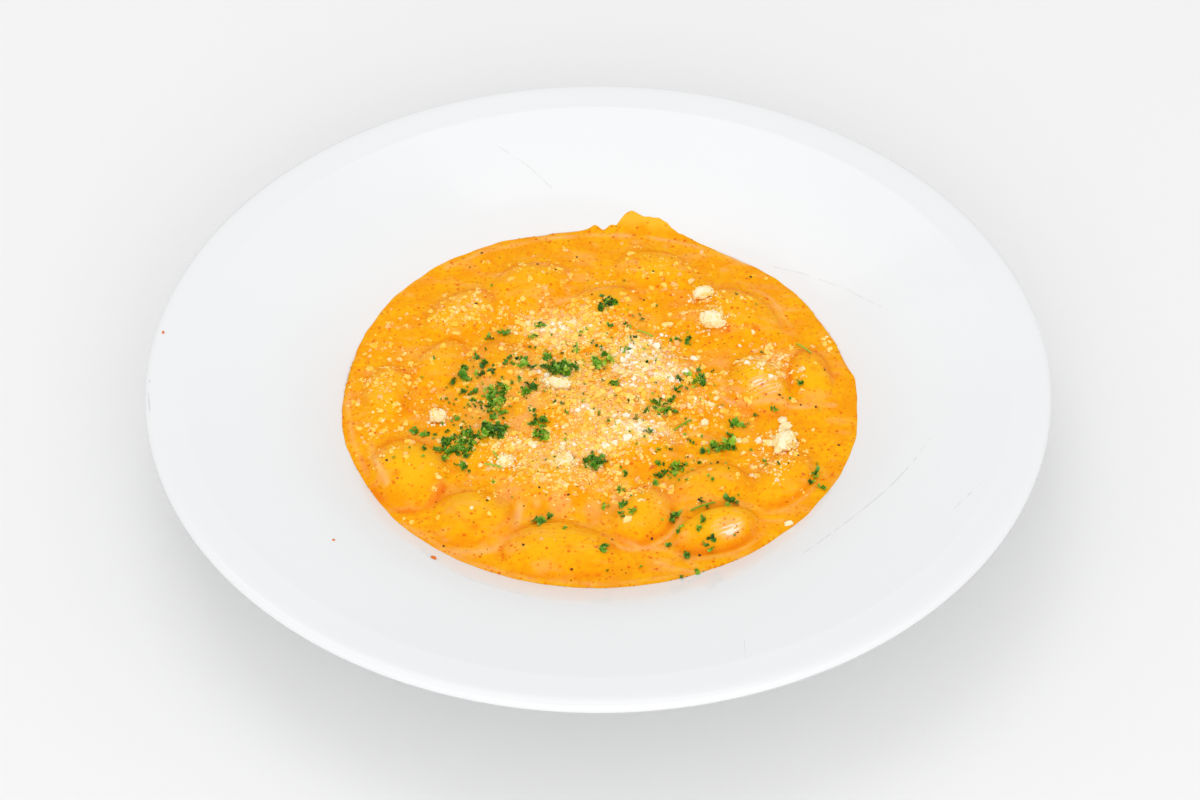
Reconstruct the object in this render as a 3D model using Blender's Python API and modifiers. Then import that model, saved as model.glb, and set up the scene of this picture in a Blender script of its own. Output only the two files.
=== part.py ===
"""A wide porcelain pasta plate of gnocchi in orange sauce, with grated cheese and chopped parsley.

Origin: on the table under the middle of the plate, +Z up, -Y towards the diner. Units are metres.
"""

import math
import random

import bmesh
import bpy
from mathutils import Vector, noise
from mathutils.bvhtree import BVHTree

MM = 0.001

# Plate: a turned shape, 290 mm across, with a flat floor, a steep wall and a wide rising rim
SEGMENTS = 56
FLOOR_Z = 10.0
# radius, height and slope of the inner face where its curve changes
WELL_KNOTS = [(58.0, FLOOR_Z, 0.0), (72.0, 14.8, 0.80), (84.0, 23.0, 0.58), (102.0, 31.5, 0.31),
              (132.8, 38.9, 0.20), (143.4, 39.9, 0.02)]
WELL_RINGS = [58.0, 63.0, 68.0, 73.0, 78.0, 84.0, 92.0, 102.0, 112.0, 132.8, 143.4]
EDGE = [(144.6, 39.5), (145.0, 38.4), (144.0, 36.6)]
UNDERSIDE_RINGS = [132.8, 112.0, 101.0, 91.0, 81.0, 72.0, 62.5]
WALL = 4.8
FOOT = [(60.6, 0.8), (59.8, 0.0), (54.0, 0.0), (53.2, 0.8), (52.2, 4.8)]

# Sauce: a pool up to this level, its edge lying on the plate's wall
LEVEL = 23.0
POOL_RADIUS = 83.9
POOL_RINGS = [0.0, 0.36, 0.66, 0.74, 0.81, 0.88, 0.95, 1.0]
FILM = 0.7
SMEAR_REACH = 6.0
SMEAR_ANGLE = 80.0
SMEAR_SPREAD = 7.5

# Gnocchi: middle x and y, length, width, height above the sauce, and heading in degrees
GNOCCHI = [
    (-58.5, -36.5, 28.0, 20.5, 4.5, 112), (-38.8, -54.8, 25.0, 21.0, 4.0, 150),
    (-11.5, -67.5, 33.0, 20.5, 4.2, 178), (13.8, -53.5, 24.0, 17.5, 3.4, 66),
    (37.3, -61.5, 28.0, 18.5, 5.2, 27), (35.6, -41.5, 25.0, 16.5, 2.6, 22),
    (58.8, -38.8, 25.0, 17.0, 2.4, 52), (52.5, 3.5, 27.0, 19.5, 5.0, 112),
    (71.0, 9.0, 24.0, 15.5, 3.6, 99), (46.5, 38.0, 33.0, 23.0, 3.6, 132),
    (20.0, 61.5, 28.0, 18.0, 2.6, 162), (2.0, 43.5, 25.0, 16.0, 2.4, 20),
    (-23.0, 55.0, 28.0, 18.0, 3.0, 22), (-46.5, 39.0, 27.0, 18.0, 3.2, 44),
    (-69.3, 0.0, 25.0, 17.0, 3.6, 88), (-52.0, 15.0, 23.0, 15.0, 3.0, 62),
    (-14.5, -41.0, 27.0, 19.0, 2.8, 8), (12.5, -23.5, 28.0, 19.0, 3.0, 150),
    (-36.8, -24.0, 26.0, 18.0, 2.8, 35), (-13.5, -8.5, 28.0, 19.0, 3.0, 165),
    (18.5, 7.0, 28.0, 19.0, 3.0, 25), (-31.5, 13.0, 25.0, 18.0, 2.8, 120),
]
AROUND = 14
RINGS = 6
SHOULDER = 1.0     # the widest ring lies this far under the sauce's level
BED = 1.7          # sauce left under each gnocco
WALL_CONTACT = 74.0
WALL_PRESS = 0.62  # share of its reach that the dough keeps past this radius, pressed by the wall
GAP = 0.35
POCKET_GAP = 0.45

# Lumps of grated cheese: middle x and y, length, width, height, heading
LUMPS = [
    (35.4, 47.3, 7.6, 5.0, 4.0, 20), (38.0, 33.3, 9.4, 7.4, 4.6, 150), (59.6, -22.3, 11.0, 6.4, 4.4, 65),
    (-52.0, -10.8, 6.2, 5.4, 4.0, 0), (-10.6, -31.2, 6.8, 6.0, 3.8, 80), (-13.5, 4.6, 11.0, 4.6, 3.6, 165),
    (-29.6, -31.4, 7.0, 5.0, 3.6, 10),
]

# Sprigs of curly parsley: middle x and y, length, width, heading, lobes, ruffle height
SPRIGS = [
    (-45.0, -24.5, 18.0, 13.5, 25, 6, 1.5), (-33.2, -18.6, 10.5, 9.0, 60, 5, 1.2),
    (-33.2, -1.5, 16.0, 9.0, 95, 6, 1.2), (-12.0, 12.6, 14.0, 7.6, 5, 6, 1.2),
    (1.2, 16.2, 9.4, 6.8, 35, 4, 1.0), (20.8, -5.0, 10.5, 8.0, 120, 4, 1.1),
    (32.3, 7.6, 10.5, 7.4, 110, 5, 1.1), (2.6, 42.3, 8.6, 6.0, 30, 4, 0.9),
    (-1.4, -31.2, 8.4, 7.4, 70, 5, 1.0), (23.3, -34.0, 11.0, 6.4, 35, 4, 1.0),
    (39.6, -23.2, 10.0, 6.2, 20, 4, 1.0), (-19.0, -17.0, 10.5, 7.0, 125, 4, 1.0),
]
LEAF_POINTS = 14
LEAF_THICKNESS = 0.6
LEAF_CLEARANCE = 0.45

# Crumbs of cheese and flakes of parsley, each fused to what it lies on
CRUMB_SEED = 11
SAUCE_BITS = 34
BITS_PER_GNOCCO = 1
CRUMB_RADIUS = (0.9, 1.5)
FLAKE_SHARE = 0.3
HEAP_MIDDLE = (4.0, -4.0)
HEAP_SPREAD = (32.0, 30.0)


def clear_scene():
    """Remove what a new file holds, so that only the plate is in it."""
    for item in list(bpy.data.objects):
        bpy.data.objects.remove(item, do_unlink=True)


def new_collection(name):
    collection = bpy.data.collections.new(name)
    bpy.context.scene.collection.children.link(collection)
    return collection


def new_material(name, colour, roughness, subsurface=0.0):
    """A Principled surface: an sRGB hex colour, its roughness and its share of light let in."""
    material = bpy.data.materials.new(name)
    material.use_nodes = True
    shader = material.node_tree.nodes["Principled BSDF"]
    channels = [int(colour[i:i + 2], 16) / 255.0 for i in (1, 3, 5)]
    linear = [c / 12.92 if c <= 0.04045 else ((c + 0.055) / 1.055) ** 2.4 for c in channels]
    shader.inputs["Base Color"].default_value = (*linear, 1.0)
    shader.inputs["Roughness"].default_value = roughness
    shader.inputs["Metallic"].default_value = 0.0
    shader.inputs["Subsurface Weight"].default_value = subsurface
    material.diffuse_color = (*linear, 1.0)
    return material


def add_object(name, bm, collection, material=None, sharp_angle=40.0):
    """Turn a bmesh, worked in millimetres, into a named object in metres."""
    bmesh.ops.scale(bm, vec=(MM, MM, MM), verts=bm.verts)
    mesh = bpy.data.meshes.new(name)
    bm.to_mesh(mesh)
    bm.free()
    mesh.shade_smooth()
    mesh.set_sharp_from_angle(angle=math.radians(sharp_angle))
    if material:
        mesh.materials.append(material)
    item = bpy.data.objects.new(name, mesh)
    collection.objects.link(item)
    return item


def apply_modifiers(item):
    """Keep the object's shape as its modifiers leave it, and drop the modifiers."""
    graph = bpy.context.evaluated_depsgraph_get()
    shaped = bpy.data.meshes.new_from_object(item.evaluated_get(graph))
    item.modifiers.clear()
    item.data = shaped


def add_boolean(item, operation, collection):
    boolean = item.modifiers.new(operation.lower(), "BOOLEAN")
    boolean.operation = operation
    boolean.operand_type = "COLLECTION"
    boolean.collection = collection
    boolean.solver = "EXACT"


def smooth_curve(radius, knots):
    """Height of a curve that passes through knots of (radius, height, slope)."""
    if radius <= knots[0][0]:
        return knots[0][1]
    for (r0, z0, s0), (r1, z1, s1) in zip(knots, knots[1:]):
        if radius <= r1:
            span = r1 - r0
            t = (radius - r0) / span
            return ((2 * t ** 3 - 3 * t ** 2 + 1) * z0 + (t ** 3 - 2 * t ** 2 + t) * span * s0
                    + (3 * t ** 2 - 2 * t ** 3) * z1 + (t ** 3 - t ** 2) * span * s1)
    return knots[-1][1]


def well(radius):
    """Height of the plate's inner face, as its straight facets have it."""
    rings = [0.0] + WELL_RINGS
    for inner, outer in zip(rings, rings[1:]):
        if radius <= outer:
            share = (radius - inner) / (outer - inner)
            low, high = smooth_curve(inner, WELL_KNOTS), smooth_curve(outer, WELL_KNOTS)
            return low + (high - low) * share
    return smooth_curve(WELL_RINGS[-1], WELL_KNOTS)


def underside(radius):
    """Height of the plate's outer face, a wall's thickness under the inner one."""
    slope = (smooth_curve(radius + 0.5, WELL_KNOTS) - smooth_curve(radius - 0.5, WELL_KNOTS))
    return smooth_curve(radius, WELL_KNOTS) - WALL * math.hypot(1.0, slope)


def make_plate(collection, material):
    """Turn the plate's section once round, from the middle of the floor out, over the edge and back."""
    section = [(0.0, FLOOR_Z)]
    section += [(radius, smooth_curve(radius, WELL_KNOTS)) for radius in WELL_RINGS]
    section += EDGE
    section += [(radius, underside(radius)) for radius in UNDERSIDE_RINGS]
    section += FOOT
    section += [(0.0, FOOT[-1][1])]
    bm = bmesh.new()
    points = [bm.verts.new((radius, 0.0, height)) for radius, height in section]
    for a, b in zip(points, points[1:]):
        bm.edges.new((a, b))
    plate = add_object("plate", bm, collection, material)
    screw = plate.modifiers.new("turn", "SCREW")
    screw.axis = "Z"
    screw.steps = SEGMENTS
    screw.render_steps = SEGMENTS
    screw.use_merge_vertices = True
    screw.merge_threshold = 0.0001
    screw.use_smooth_shade = True
    return plate


def gnocco_shape(index):
    """A soft oval dumpling: a low dome above the sauce and a deep belly that the plate's wall flattens."""
    x, y, length, width, rise, heading = GNOCCHI[index]
    middle = LEVEL - SHOULDER
    dome = SHOULDER + rise
    belly = middle - FLOOR_Z - BED
    turn = math.radians(heading)
    bend = 1.2 * math.sin(index * 2.1)
    bm = bmesh.new()
    bmesh.ops.create_uvsphere(bm, u_segments=AROUND, v_segments=RINGS, radius=1.0)
    for vert in bm.verts:
        angle = math.atan2(vert.co.y, vert.co.x)
        reach = min(1.0, math.hypot(vert.co.x, vert.co.y))
        if vert.co.z < 0:
            reach **= 0.75
        uneven = 1 + 0.03 * math.sin(2 * angle + index) + 0.025 * math.sin(3 * angle + 2 * index)
        along = length / 2 * reach * uneven * math.cos(angle)
        across = width / 2 * reach * uneven * math.sin(angle) + bend * (math.cos(angle) * reach) ** 2
        px = x + along * math.cos(turn) - across * math.sin(turn)
        py = y + along * math.sin(turn) + across * math.cos(turn)
        pz = middle + vert.co.z * (dome if vert.co.z > 0 else belly)
        radius = math.hypot(px, py)
        if radius > WALL_CONTACT:
            pressed = (WALL_CONTACT + (radius - WALL_CONTACT) * WALL_PRESS) / radius
            px, py = px * pressed, py * pressed
        bed = well(math.hypot(px, py)) + BED
        vert.co = (px, py, max(pz, bed) if vert.co.z < 0 else pz)
    bmesh.ops.triangulate(bm, faces=bm.faces)
    return bm


def make_pocket(index, collection):
    """The hollow that a gnocco leaves in the sauce: its own shape, swollen by the gap."""
    pocket = add_object(f"pocket_{index + 1:02d}", gnocco_shape(index), collection)
    swell = pocket.modifiers.new("gap", "DISPLACE")
    swell.strength = POCKET_GAP * MM
    swell.mid_level = 0.0
    pocket.hide_render = True
    pocket.display_type = "WIRE"


def pool_reach(angle):
    """Radius of the sauce's edge: nearly round, with a smear up the wall at the back."""
    degrees = math.degrees(angle)
    smear = SMEAR_REACH * math.exp(-((degrees - SMEAR_ANGLE) / SMEAR_SPREAD) ** 2)
    return POOL_RADIUS + 0.25 * math.sin(7 * angle + 1.0) + smear


def make_sauce(collection, material, pockets):
    """A pool on the plate's wall, up to its level, with a pocket round each gnocco."""
    bm = bmesh.new()
    bmesh.ops.create_uvsphere(bm, u_segments=SEGMENTS, v_segments=2 * (len(POOL_RINGS) - 1), radius=1.0)
    step = math.pi / (2 * (len(POOL_RINGS) - 1))
    for vert in bm.verts:
        angle = math.atan2(vert.co.y, vert.co.x)
        ring = round(math.acos(min(1.0, abs(vert.co.z))) / step)
        radius = POOL_RINGS[ring] * pool_reach(angle)
        bottom = well(radius) + GAP
        if ring == len(POOL_RINGS) - 1:
            height = bottom + 0.15
        elif vert.co.z > 0:
            height = max(LEVEL, bottom + FILM)
        else:
            height = bottom
        vert.co = (radius * math.cos(angle), radius * math.sin(angle), height)
    bmesh.ops.triangulate(bm, faces=bm.faces)
    sauce = add_object("sauce", bm, collection, material)
    add_boolean(sauce, "DIFFERENCE", pockets)
    apply_modifiers(sauce)
    return sauce


class Surface:
    """What lies uppermost at a point, among the solids that it has been given."""

    def __init__(self):
        self.trees = {}

    def add(self, item):
        bm = bmesh.new()
        graph = bpy.context.evaluated_depsgraph_get()
        bm.from_object(item, graph)
        self.trees[item.name] = BVHTree.FromBMesh(bm)
        bm.free()

    def top(self, x, y):
        """Height in mm and name of the uppermost solid at a point given in mm."""
        best, owner = 0.0, None
        for name, tree in self.trees.items():
            hit = tree.ray_cast(Vector((x * MM, y * MM, 0.1)), Vector((0, 0, -1)))[0]
            if hit is not None and hit.z / MM > best:
                best, owner = hit.z / MM, name
        return best, owner

    def top_around(self, x, y, reach):
        """The highest point within reach, so that a thin flat piece clears the ridges near it."""
        spots = [(x, y)] + [(x + reach * math.cos(a), y + reach * math.sin(a))
                            for a in (k * math.pi / 4 for k in range(8))]
        return max(self.top(sx, sy)[0] for sx, sy in spots)


def bit_shape(x, y, z, radius, squash, heading, stretch):
    """A crumb or a flake: a small rough ball, flattened and stretched."""
    bm = bmesh.new()
    bmesh.ops.create_icosphere(bm, subdivisions=1, radius=radius)
    for vert in bm.verts:
        a, b, c = vert.co
        rough = 1 + 0.3 * noise.noise(Vector((x + a, y + b, c)))
        a, b = a * rough * stretch, b * rough / stretch
        vert.co = (x + a * math.cos(heading) - b * math.sin(heading),
                   y + a * math.sin(heading) + b * math.cos(heading), z + c * squash)
    return bm


def place_bits(surface, gnocchi, sauce):
    """Draw places for the bits, densest at the heap, and sort them by the piece that each lies on."""
    draw = random.Random(CRUMB_SEED)
    owners = {sauce.name: SAUCE_BITS}
    owners.update({item.name: BITS_PER_GNOCCO for item in gnocchi})
    chosen = {name: [] for name in owners}
    taken = []
    for _ in range(6000):
        wide = 1.0 if draw.random() < 0.7 else 2.0
        x = draw.gauss(HEAP_MIDDLE[0], HEAP_SPREAD[0] * wide)
        y = draw.gauss(HEAP_MIDDLE[1], HEAP_SPREAD[1] * wide)
        radius = draw.uniform(*CRUMB_RADIUS)
        flake = draw.random() < FLAKE_SHARE
        heading = draw.uniform(0.0, math.pi)
        height, owner = surface.top(x, y)
        if owner not in chosen or len(chosen[owner]) >= owners[owner] or math.hypot(x, y) > 78.0:
            continue
        if any(math.hypot(x - tx, y - ty) < 4.5 for tx, ty in taken):
            continue
        reach = radius * 1.7 + 0.9
        ring = [surface.top(x + reach * math.cos(a), y + reach * math.sin(a))
                for a in (k * math.pi / 4 for k in range(8))]
        if any(name != owner for _, name in ring):
            continue
        if owner != sauce.name and min(h for h, _ in ring) < LEVEL + 0.9:
            continue
        taken.append((x, y))
        squash = 0.45 if flake else 0.8
        stretch = 1.35 if flake else 1.05
        chosen[owner].append((x, y, height + 0.25 * radius * squash, radius, squash, heading, stretch))
    return chosen


def fuse_bits(item, bits):
    """Join the bits that lie on a piece to it, as one solid."""
    if not bits:
        return
    loose = new_collection("bits_on_" + item.name)
    for number, bit in enumerate(bits):
        add_object(f"bit_{number:02d}", bit_shape(*bit), loose)
    add_boolean(item, "UNION", loose)
    apply_modifiers(item)
    for bit in list(loose.objects):
        bpy.data.objects.remove(bit, do_unlink=True)
    bpy.data.collections.remove(loose)


def make_lump(number, place, surface, collection, material):
    """A rough lump of cheese whose underside takes the shape of what it lies on."""
    x, y, length, width, height, heading = place
    turn = math.radians(heading)
    bm = bmesh.new()
    bmesh.ops.create_icosphere(bm, subdivisions=2, radius=1.0)
    rest = surface.top_around(x, y, 1.5)
    for vert in bm.verts:
        a, b, c = vert.co
        rough = 1 + 0.28 * noise.noise(vert.co * 1.7 + Vector((number * 5.3, 0, 0)))
        along, across = a * rough * length / 2, b * rough * width / 2
        px = x + along * math.cos(turn) - across * math.sin(turn)
        py = y + along * math.sin(turn) + across * math.cos(turn)
        clear = surface.top_around(px, py, 0.7) + LEAF_CLEARANCE
        vert.co = (px, py, max(rest + height * (0.42 + 0.58 * c * rough), clear + 0.35 * (1 + c)))
    return add_object(f"cheese_lump_{number}", bm, collection, material)


def make_sprig(number, place, surface, collection, material):
    """A thin ruffled leaf with lobes, laid over what is under it."""
    x, y, length, width, heading, lobes, ruffle = place
    turn = math.radians(heading)
    bm = bmesh.new()
    bmesh.ops.create_circle(bm, cap_ends=True, cap_tris=True, segments=LEAF_POINTS, radius=1.0)
    spokes = [edge for edge in bm.edges if min(v.co.length for v in edge.verts) < 0.1]
    bmesh.ops.subdivide_edges(bm, edges=spokes, cuts=1)
    bmesh.ops.triangulate(bm, faces=bm.faces)
    for vert in bm.verts:
        angle = math.atan2(vert.co.y, vert.co.x)
        reach = vert.co.length
        lobe = 1 - 0.38 * reach * math.sin(lobes * angle / 2 + number) ** 2
        along, across = reach * lobe * length / 2 * math.cos(angle), reach * lobe * width / 2 * math.sin(angle)
        px = x + along * math.cos(turn) - across * math.sin(turn)
        py = y + along * math.sin(turn) + across * math.cos(turn)
        wave = ruffle * reach * (0.5 + 0.5 * math.sin(3 * angle + number * 1.3))
        vert.co = (px, py, surface.top_around(px, py, 0.8) + LEAF_CLEARANCE + wave)
    bmesh.ops.recalc_face_normals(bm, faces=bm.faces)
    if sum(face.normal.z for face in bm.faces) < 0:
        bmesh.ops.reverse_faces(bm, faces=bm.faces)
    sprig = add_object(f"parsley_{number:02d}", bm, collection, material)
    solid = sprig.modifiers.new("thickness", "SOLIDIFY")
    solid.thickness = LEAF_THICKNESS * MM
    solid.offset = 1.0
    return sprig


def main():
    clear_scene()
    dish = new_collection("gnocchi_on_plate")
    cutters = new_collection("cutters")
    porcelain = new_material("white_porcelain", "#F4F4F3", 0.12)
    sauce_finish = new_material("orange_sauce", "#FCA313", 0.3, subsurface=0.2)
    dough = new_material("potato_dough", "#FDB31A", 0.35, subsurface=0.2)
    cheese = new_material("grated_cheese", "#FBE3B4", 0.7)
    leaf = new_material("parsley_leaf", "#2F7D1E", 0.55)

    make_plate(dish, porcelain)
    gnocchi = []
    for index in range(len(GNOCCHI)):
        gnocchi.append(add_object(f"gnocco_{index + 1:02d}", gnocco_shape(index), dish, dough))
        make_pocket(index, cutters)
    sauce = make_sauce(dish, sauce_finish, cutters)

    surface = Surface()
    for item in gnocchi + [sauce]:
        surface.add(item)
    bits = place_bits(surface, gnocchi, sauce)
    for item in gnocchi + [sauce]:
        fuse_bits(item, bits[item.name])
        surface.add(item)
    for number, place in enumerate(LUMPS, start=1):
        surface.add(make_lump(number, place, surface, dish, cheese))
    for number, place in enumerate(SPRIGS, start=1):
        surface.add(make_sprig(number, place, surface, dish, leaf))


main()
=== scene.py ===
"""Gnocchi in orange sauce on a wide white plate: the finished look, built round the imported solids.

Sizes and places are in millimetres, and become metres where a mesh is made.
"""

import math
from types import SimpleNamespace

import bmesh
import bpy
import numpy as np
from mathutils import Matrix, Vector, noise
from mathutils.bvhtree import BVHTree


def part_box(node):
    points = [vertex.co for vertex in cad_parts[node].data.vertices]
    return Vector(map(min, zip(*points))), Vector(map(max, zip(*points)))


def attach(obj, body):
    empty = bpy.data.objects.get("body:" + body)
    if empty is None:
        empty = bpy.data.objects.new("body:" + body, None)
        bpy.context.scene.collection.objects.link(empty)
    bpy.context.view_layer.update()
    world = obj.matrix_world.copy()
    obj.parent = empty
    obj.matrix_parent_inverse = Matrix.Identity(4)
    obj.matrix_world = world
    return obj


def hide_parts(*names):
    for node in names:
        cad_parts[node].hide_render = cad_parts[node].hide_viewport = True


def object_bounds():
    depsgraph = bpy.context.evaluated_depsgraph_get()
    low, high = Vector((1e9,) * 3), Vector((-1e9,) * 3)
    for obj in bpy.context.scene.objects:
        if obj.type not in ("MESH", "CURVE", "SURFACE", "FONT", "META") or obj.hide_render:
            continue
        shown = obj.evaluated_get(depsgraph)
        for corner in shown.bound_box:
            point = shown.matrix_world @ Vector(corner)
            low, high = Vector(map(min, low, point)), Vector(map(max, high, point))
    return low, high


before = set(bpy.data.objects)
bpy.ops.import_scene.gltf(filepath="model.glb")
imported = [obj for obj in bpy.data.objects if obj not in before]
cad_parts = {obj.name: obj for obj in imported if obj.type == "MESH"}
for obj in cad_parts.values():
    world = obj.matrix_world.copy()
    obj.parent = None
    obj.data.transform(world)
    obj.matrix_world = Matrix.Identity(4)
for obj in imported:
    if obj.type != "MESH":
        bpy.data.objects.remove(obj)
CAD_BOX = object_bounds()
MM = 0.001
SEED = 20

# Camera: how steeply it looks down, from how far and at what point near the plate's middle (metres), and its
# lens (mm)
CAMERA_ELEVATION = math.radians(43.903)
CAMERA_DISTANCE = 0.9
AIM_HEIGHT = 0.02162
AIM_SHIFT = 0.00055
CAMERA_LENS = 82.71

# Plate
PLATE_RADIUS = CAD_BOX[1].x / MM
RIM_TOP = CAD_BOX[1].z / MM
PLATE_STEPS = 256
FLOOR_Z = 10.0
# radius, height and slope where the curve of the inner face changes
INNER_KNOTS = [(58.0, FLOOR_Z, 0.0), (72.0, 14.8, 0.80), (84.0, 23.0, 0.58), (98.0, 30.0, 0.42),
               (106.0, 32.7, 0.27), (132.2, 38.75, 0.225), (133.8, 38.98, 0.085), (142.6, RIM_TOP, 0.03)]
WALL = 4.8
# how far the rounding of the edge reaches, and half the edge's thickness
EDGE_REACH = 1.9
EDGE_HALF = 1.75
FOOT = [(60.8, 1.4), (60.2, 0.4), (59.4, 0.0), (54.4, 0.0), (53.6, 0.4), (53.0, 1.6), (52.2, 4.8)]

# Sauce and gnocchi
LEVEL = 23.0
WIDEST_Z = LEVEL - 1.0
POOL_RADIUS = 84.0
# over how wide an edge the pool's skin rises, and how high
EDGE_ROUND = 1.6
SWELL = 0.25
# angle in degrees and radius of the sauce's edge, with the smear that climbs the wall at the back
OUTLINE = [
    (0, 84.3), (6, 84.5), (12, 83.2), (24, 83), (32, 83.5), (44, 84.1), (54, 83.4), (60.4, 83.7),
    (64.5, 84), (68.6, 85), (71.8, 86.1), (74.5, 88.5), (76.4, 89.5), (78.2, 89.4), (80.6, 89.2),
    (82.4, 91), (83.7, 89.8), (84.7, 89.4), (85.1, 86), (86.2, 85.2), (86.7, 86.6), (87.7, 84.9),
    (89.2, 83.4), (90.3, 86.2), (90.8, 86.2), (92, 84.6), (94.5, 83.6), (103, 83.5), (112, 84.2),
    (130, 84.7), (148, 84.3), (158, 83.6), (175, 82.7), (184, 83.5), (196, 83.8), (207, 83.1), (222, 84.1),
    (236, 84.2), (246, 84.2), (262, 84), (278, 83.8), (294, 83.4), (306, 84), (314, 83.5), (320, 84.3),
    (326, 83.9), (334, 84.6), (346, 84.9), (354, 84.3), (360, 84.3)]
# thickness of the smear, of the sauce over a gnocco, and of the gap under the sauce
SMEAR_FILM = 0.55
COAT = 0.45
GAP = 0.02
SAUCE_GRID = 280
# width of the sauce's fillet at the far side of each gnocco, if its own is smaller
FAR_FILLET = 4.5
# of the gnocchi under the skin: how far their sides and tops lie inside it, how far their bellies stay off
# the plate, and how many ridges they have and how deep
INSET = 0.7
TOP_INSET = 0.4
BED = 1.7
RIDGES = 9
RIDGE_DEPTH = 0.3


def hex_colour(text):
    """sRGB hex to the linear colour that a shader takes."""
    parts = [int(text[i:i + 2], 16) / 255.0 for i in (1, 3, 5)]
    return tuple(c / 12.92 if c <= 0.04045 else ((c + 0.055) / 1.055) ** 2.4 for c in parts) + (1.0,)


def feed(tree, node, name, value):
    """Set one of a node's inputs, or link it to another node's output. A colour can be given as hex."""
    if isinstance(value, bpy.types.NodeSocket):
        tree.links.new(value, node.inputs[name])
    else:
        node.inputs[name].default_value = hex_colour(value) if isinstance(value, str) else value


def add_node(tree, kind, settings=None, inputs=None):
    """Add one shader node, give it its settings, and set or link its inputs."""
    node = tree.nodes.new("ShaderNode" + kind)
    for name, value in (settings or {}).items():
        setattr(node, name, value)
    for name, value in (inputs or {}).items():
        feed(tree, node, name, value)
    return node


def new_material(name, **sockets):
    """A Principled material with its uniform values set on the shader's own sockets."""
    material = bpy.data.materials.new(name)
    material.use_nodes = True
    shader = material.node_tree.nodes["Principled BSDF"]
    for socket, value in sockets.items():
        shader.inputs[socket.replace("_", " ")].default_value = value
    return material, material.node_tree, shader


def mix(tree, factor, first, second):
    """Colour of a mix of two colours, each given as hex or as another node's output."""
    settings = {"data_type": "RGBA", "clamp_factor": True}
    return add_node(tree, "Mix", settings, {0: factor, 6: first, 7: second}).outputs[2]


def ramp(tree, value, low, high, to_low=0.0, to_high=1.0):
    """A value's range from low to high, eased to another range."""
    inputs = {"Value": value, "From Min": low, "From Max": high, "To Min": to_low, "To Max": to_high}
    return add_node(tree, "MapRange", {"interpolation_type": "SMOOTHSTEP"}, inputs).outputs["Result"]


def calculate(tree, operation, first, second):
    """Output of a math node on two values."""
    return add_node(tree, "Math", {"operation": operation}, {0: first, 1: second}).outputs[0]


def vector_math(tree, operation, first, second=(0, 0, 0), output=0):
    """Output of a vector math node: number 0 is a vector, number 1 a value."""
    return add_node(tree, "VectorMath", {"operation": operation}, {0: first, 1: second}).outputs[output]


def own_place(tree):
    """The place in the object's own coordinates."""
    return add_node(tree, "TexCoord").outputs["Object"]


def object_noise(tree, size_mm, detail=2.0, place=None):
    """Noise on the object's own coordinates, with lumps of about the size given."""
    inputs = {"Vector": place or own_place(tree), "Scale": 1.0 / (size_mm * MM), "Detail": detail}
    return add_node(tree, "TexNoise", None, inputs).outputs["Fac"]


def cells(tree, place, size_mm):
    """Cells of about the size given, each with its own colour."""
    return add_node(tree, "TexVoronoi", None, {"Vector": place, "Scale": 1.0 / (size_mm * MM)}).outputs


def channels(tree, colour):
    """The red, green and blue of a colour."""
    return add_node(tree, "SeparateColor", None, {"Color": colour}).outputs


def add_bump(tree, shader, strength, depth_mm, height):
    """Fine relief in the shading, on top of the mesh's own."""
    inputs = {"Strength": strength, "Distance": depth_mm * MM, "Height": height}
    feed(tree, shader, "Normal", add_node(tree, "Bump", None, inputs).outputs["Normal"])


def tinted_material(name, hue, grain, patches, **sockets):
    """A finish in the tint stored in the mesh, with patches of one more hue from a noise and its ramp."""
    material, tree, shader = new_material(name, **sockets)
    tint = add_node(tree, "Attribute", {"attribute_name": "tint"}).outputs["Color"]
    share = ramp(tree, object_noise(tree, *grain), *patches)
    feed(tree, shader, "Base Color", mix(tree, share, tint, hue))
    return material


def plate_height(radius):
    """Height of the plate's inner face at radii: a smooth curve from knot to knot."""
    radius = np.asarray(radius, float)
    height = np.full(radius.shape, FLOOR_Z)
    for (r0, z0, s0), (r1, z1, s1) in zip(INNER_KNOTS, INNER_KNOTS[1:]):
        span = r1 - r0
        t = np.clip((radius - r0) / span, 0.0, 1.0)
        piece = ((2 * t ** 3 - 3 * t ** 2 + 1) * z0 + (t ** 3 - 2 * t ** 2 + t) * span * s0
                 + (3 * t ** 2 - 2 * t ** 3) * z1 + (t ** 3 - t ** 2) * span * s1)
        height = np.where(radius > r0, piece, height)
    return height


def ease(value, low, high):
    """0 up to low and 1 from high on, eased between them."""
    t = np.clip((value - low) / (high - low), 0.0, 1.0)
    return t * t * (3 - 2 * t)


def soft_max(a, b, fillet):
    """The larger of two heights, with a fillet where they meet."""
    near = np.clip(1 - np.abs(a - b) / fillet, 0.0, 1.0)
    return np.maximum(a, b) + near * near * fillet / 4


def bell(x, y, middle_x, middle_y, spread_x, spread_y):
    """1 in the middle, falling off along x and y."""
    return np.exp(-((x - middle_x) / spread_x) ** 2 - ((y - middle_y) / spread_y) ** 2)


def band(value, middle, width):
    """1 where a value is at the middle, falling off to both sides."""
    return np.exp(-((value - middle) / width) ** 2)


def noise_field(x, y, size, seed):
    """Smooth noise of about -1 to 1 from crossing waves, with lumps of the size given."""
    rng = np.random.default_rng(seed)
    waves = 22
    total = np.zeros(np.shape(x))
    for turn, phase, stretch in zip(rng.uniform(0, math.pi, waves), rng.uniform(0, 2 * math.pi, waves),
                                    rng.uniform(0.55, 1.15, waves)):
        pace = math.pi * stretch / size
        total = total + np.cos(pace * (x * math.cos(turn) + y * math.sin(turn)) + phase)
    return total / math.sqrt(2 * waves)


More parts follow.
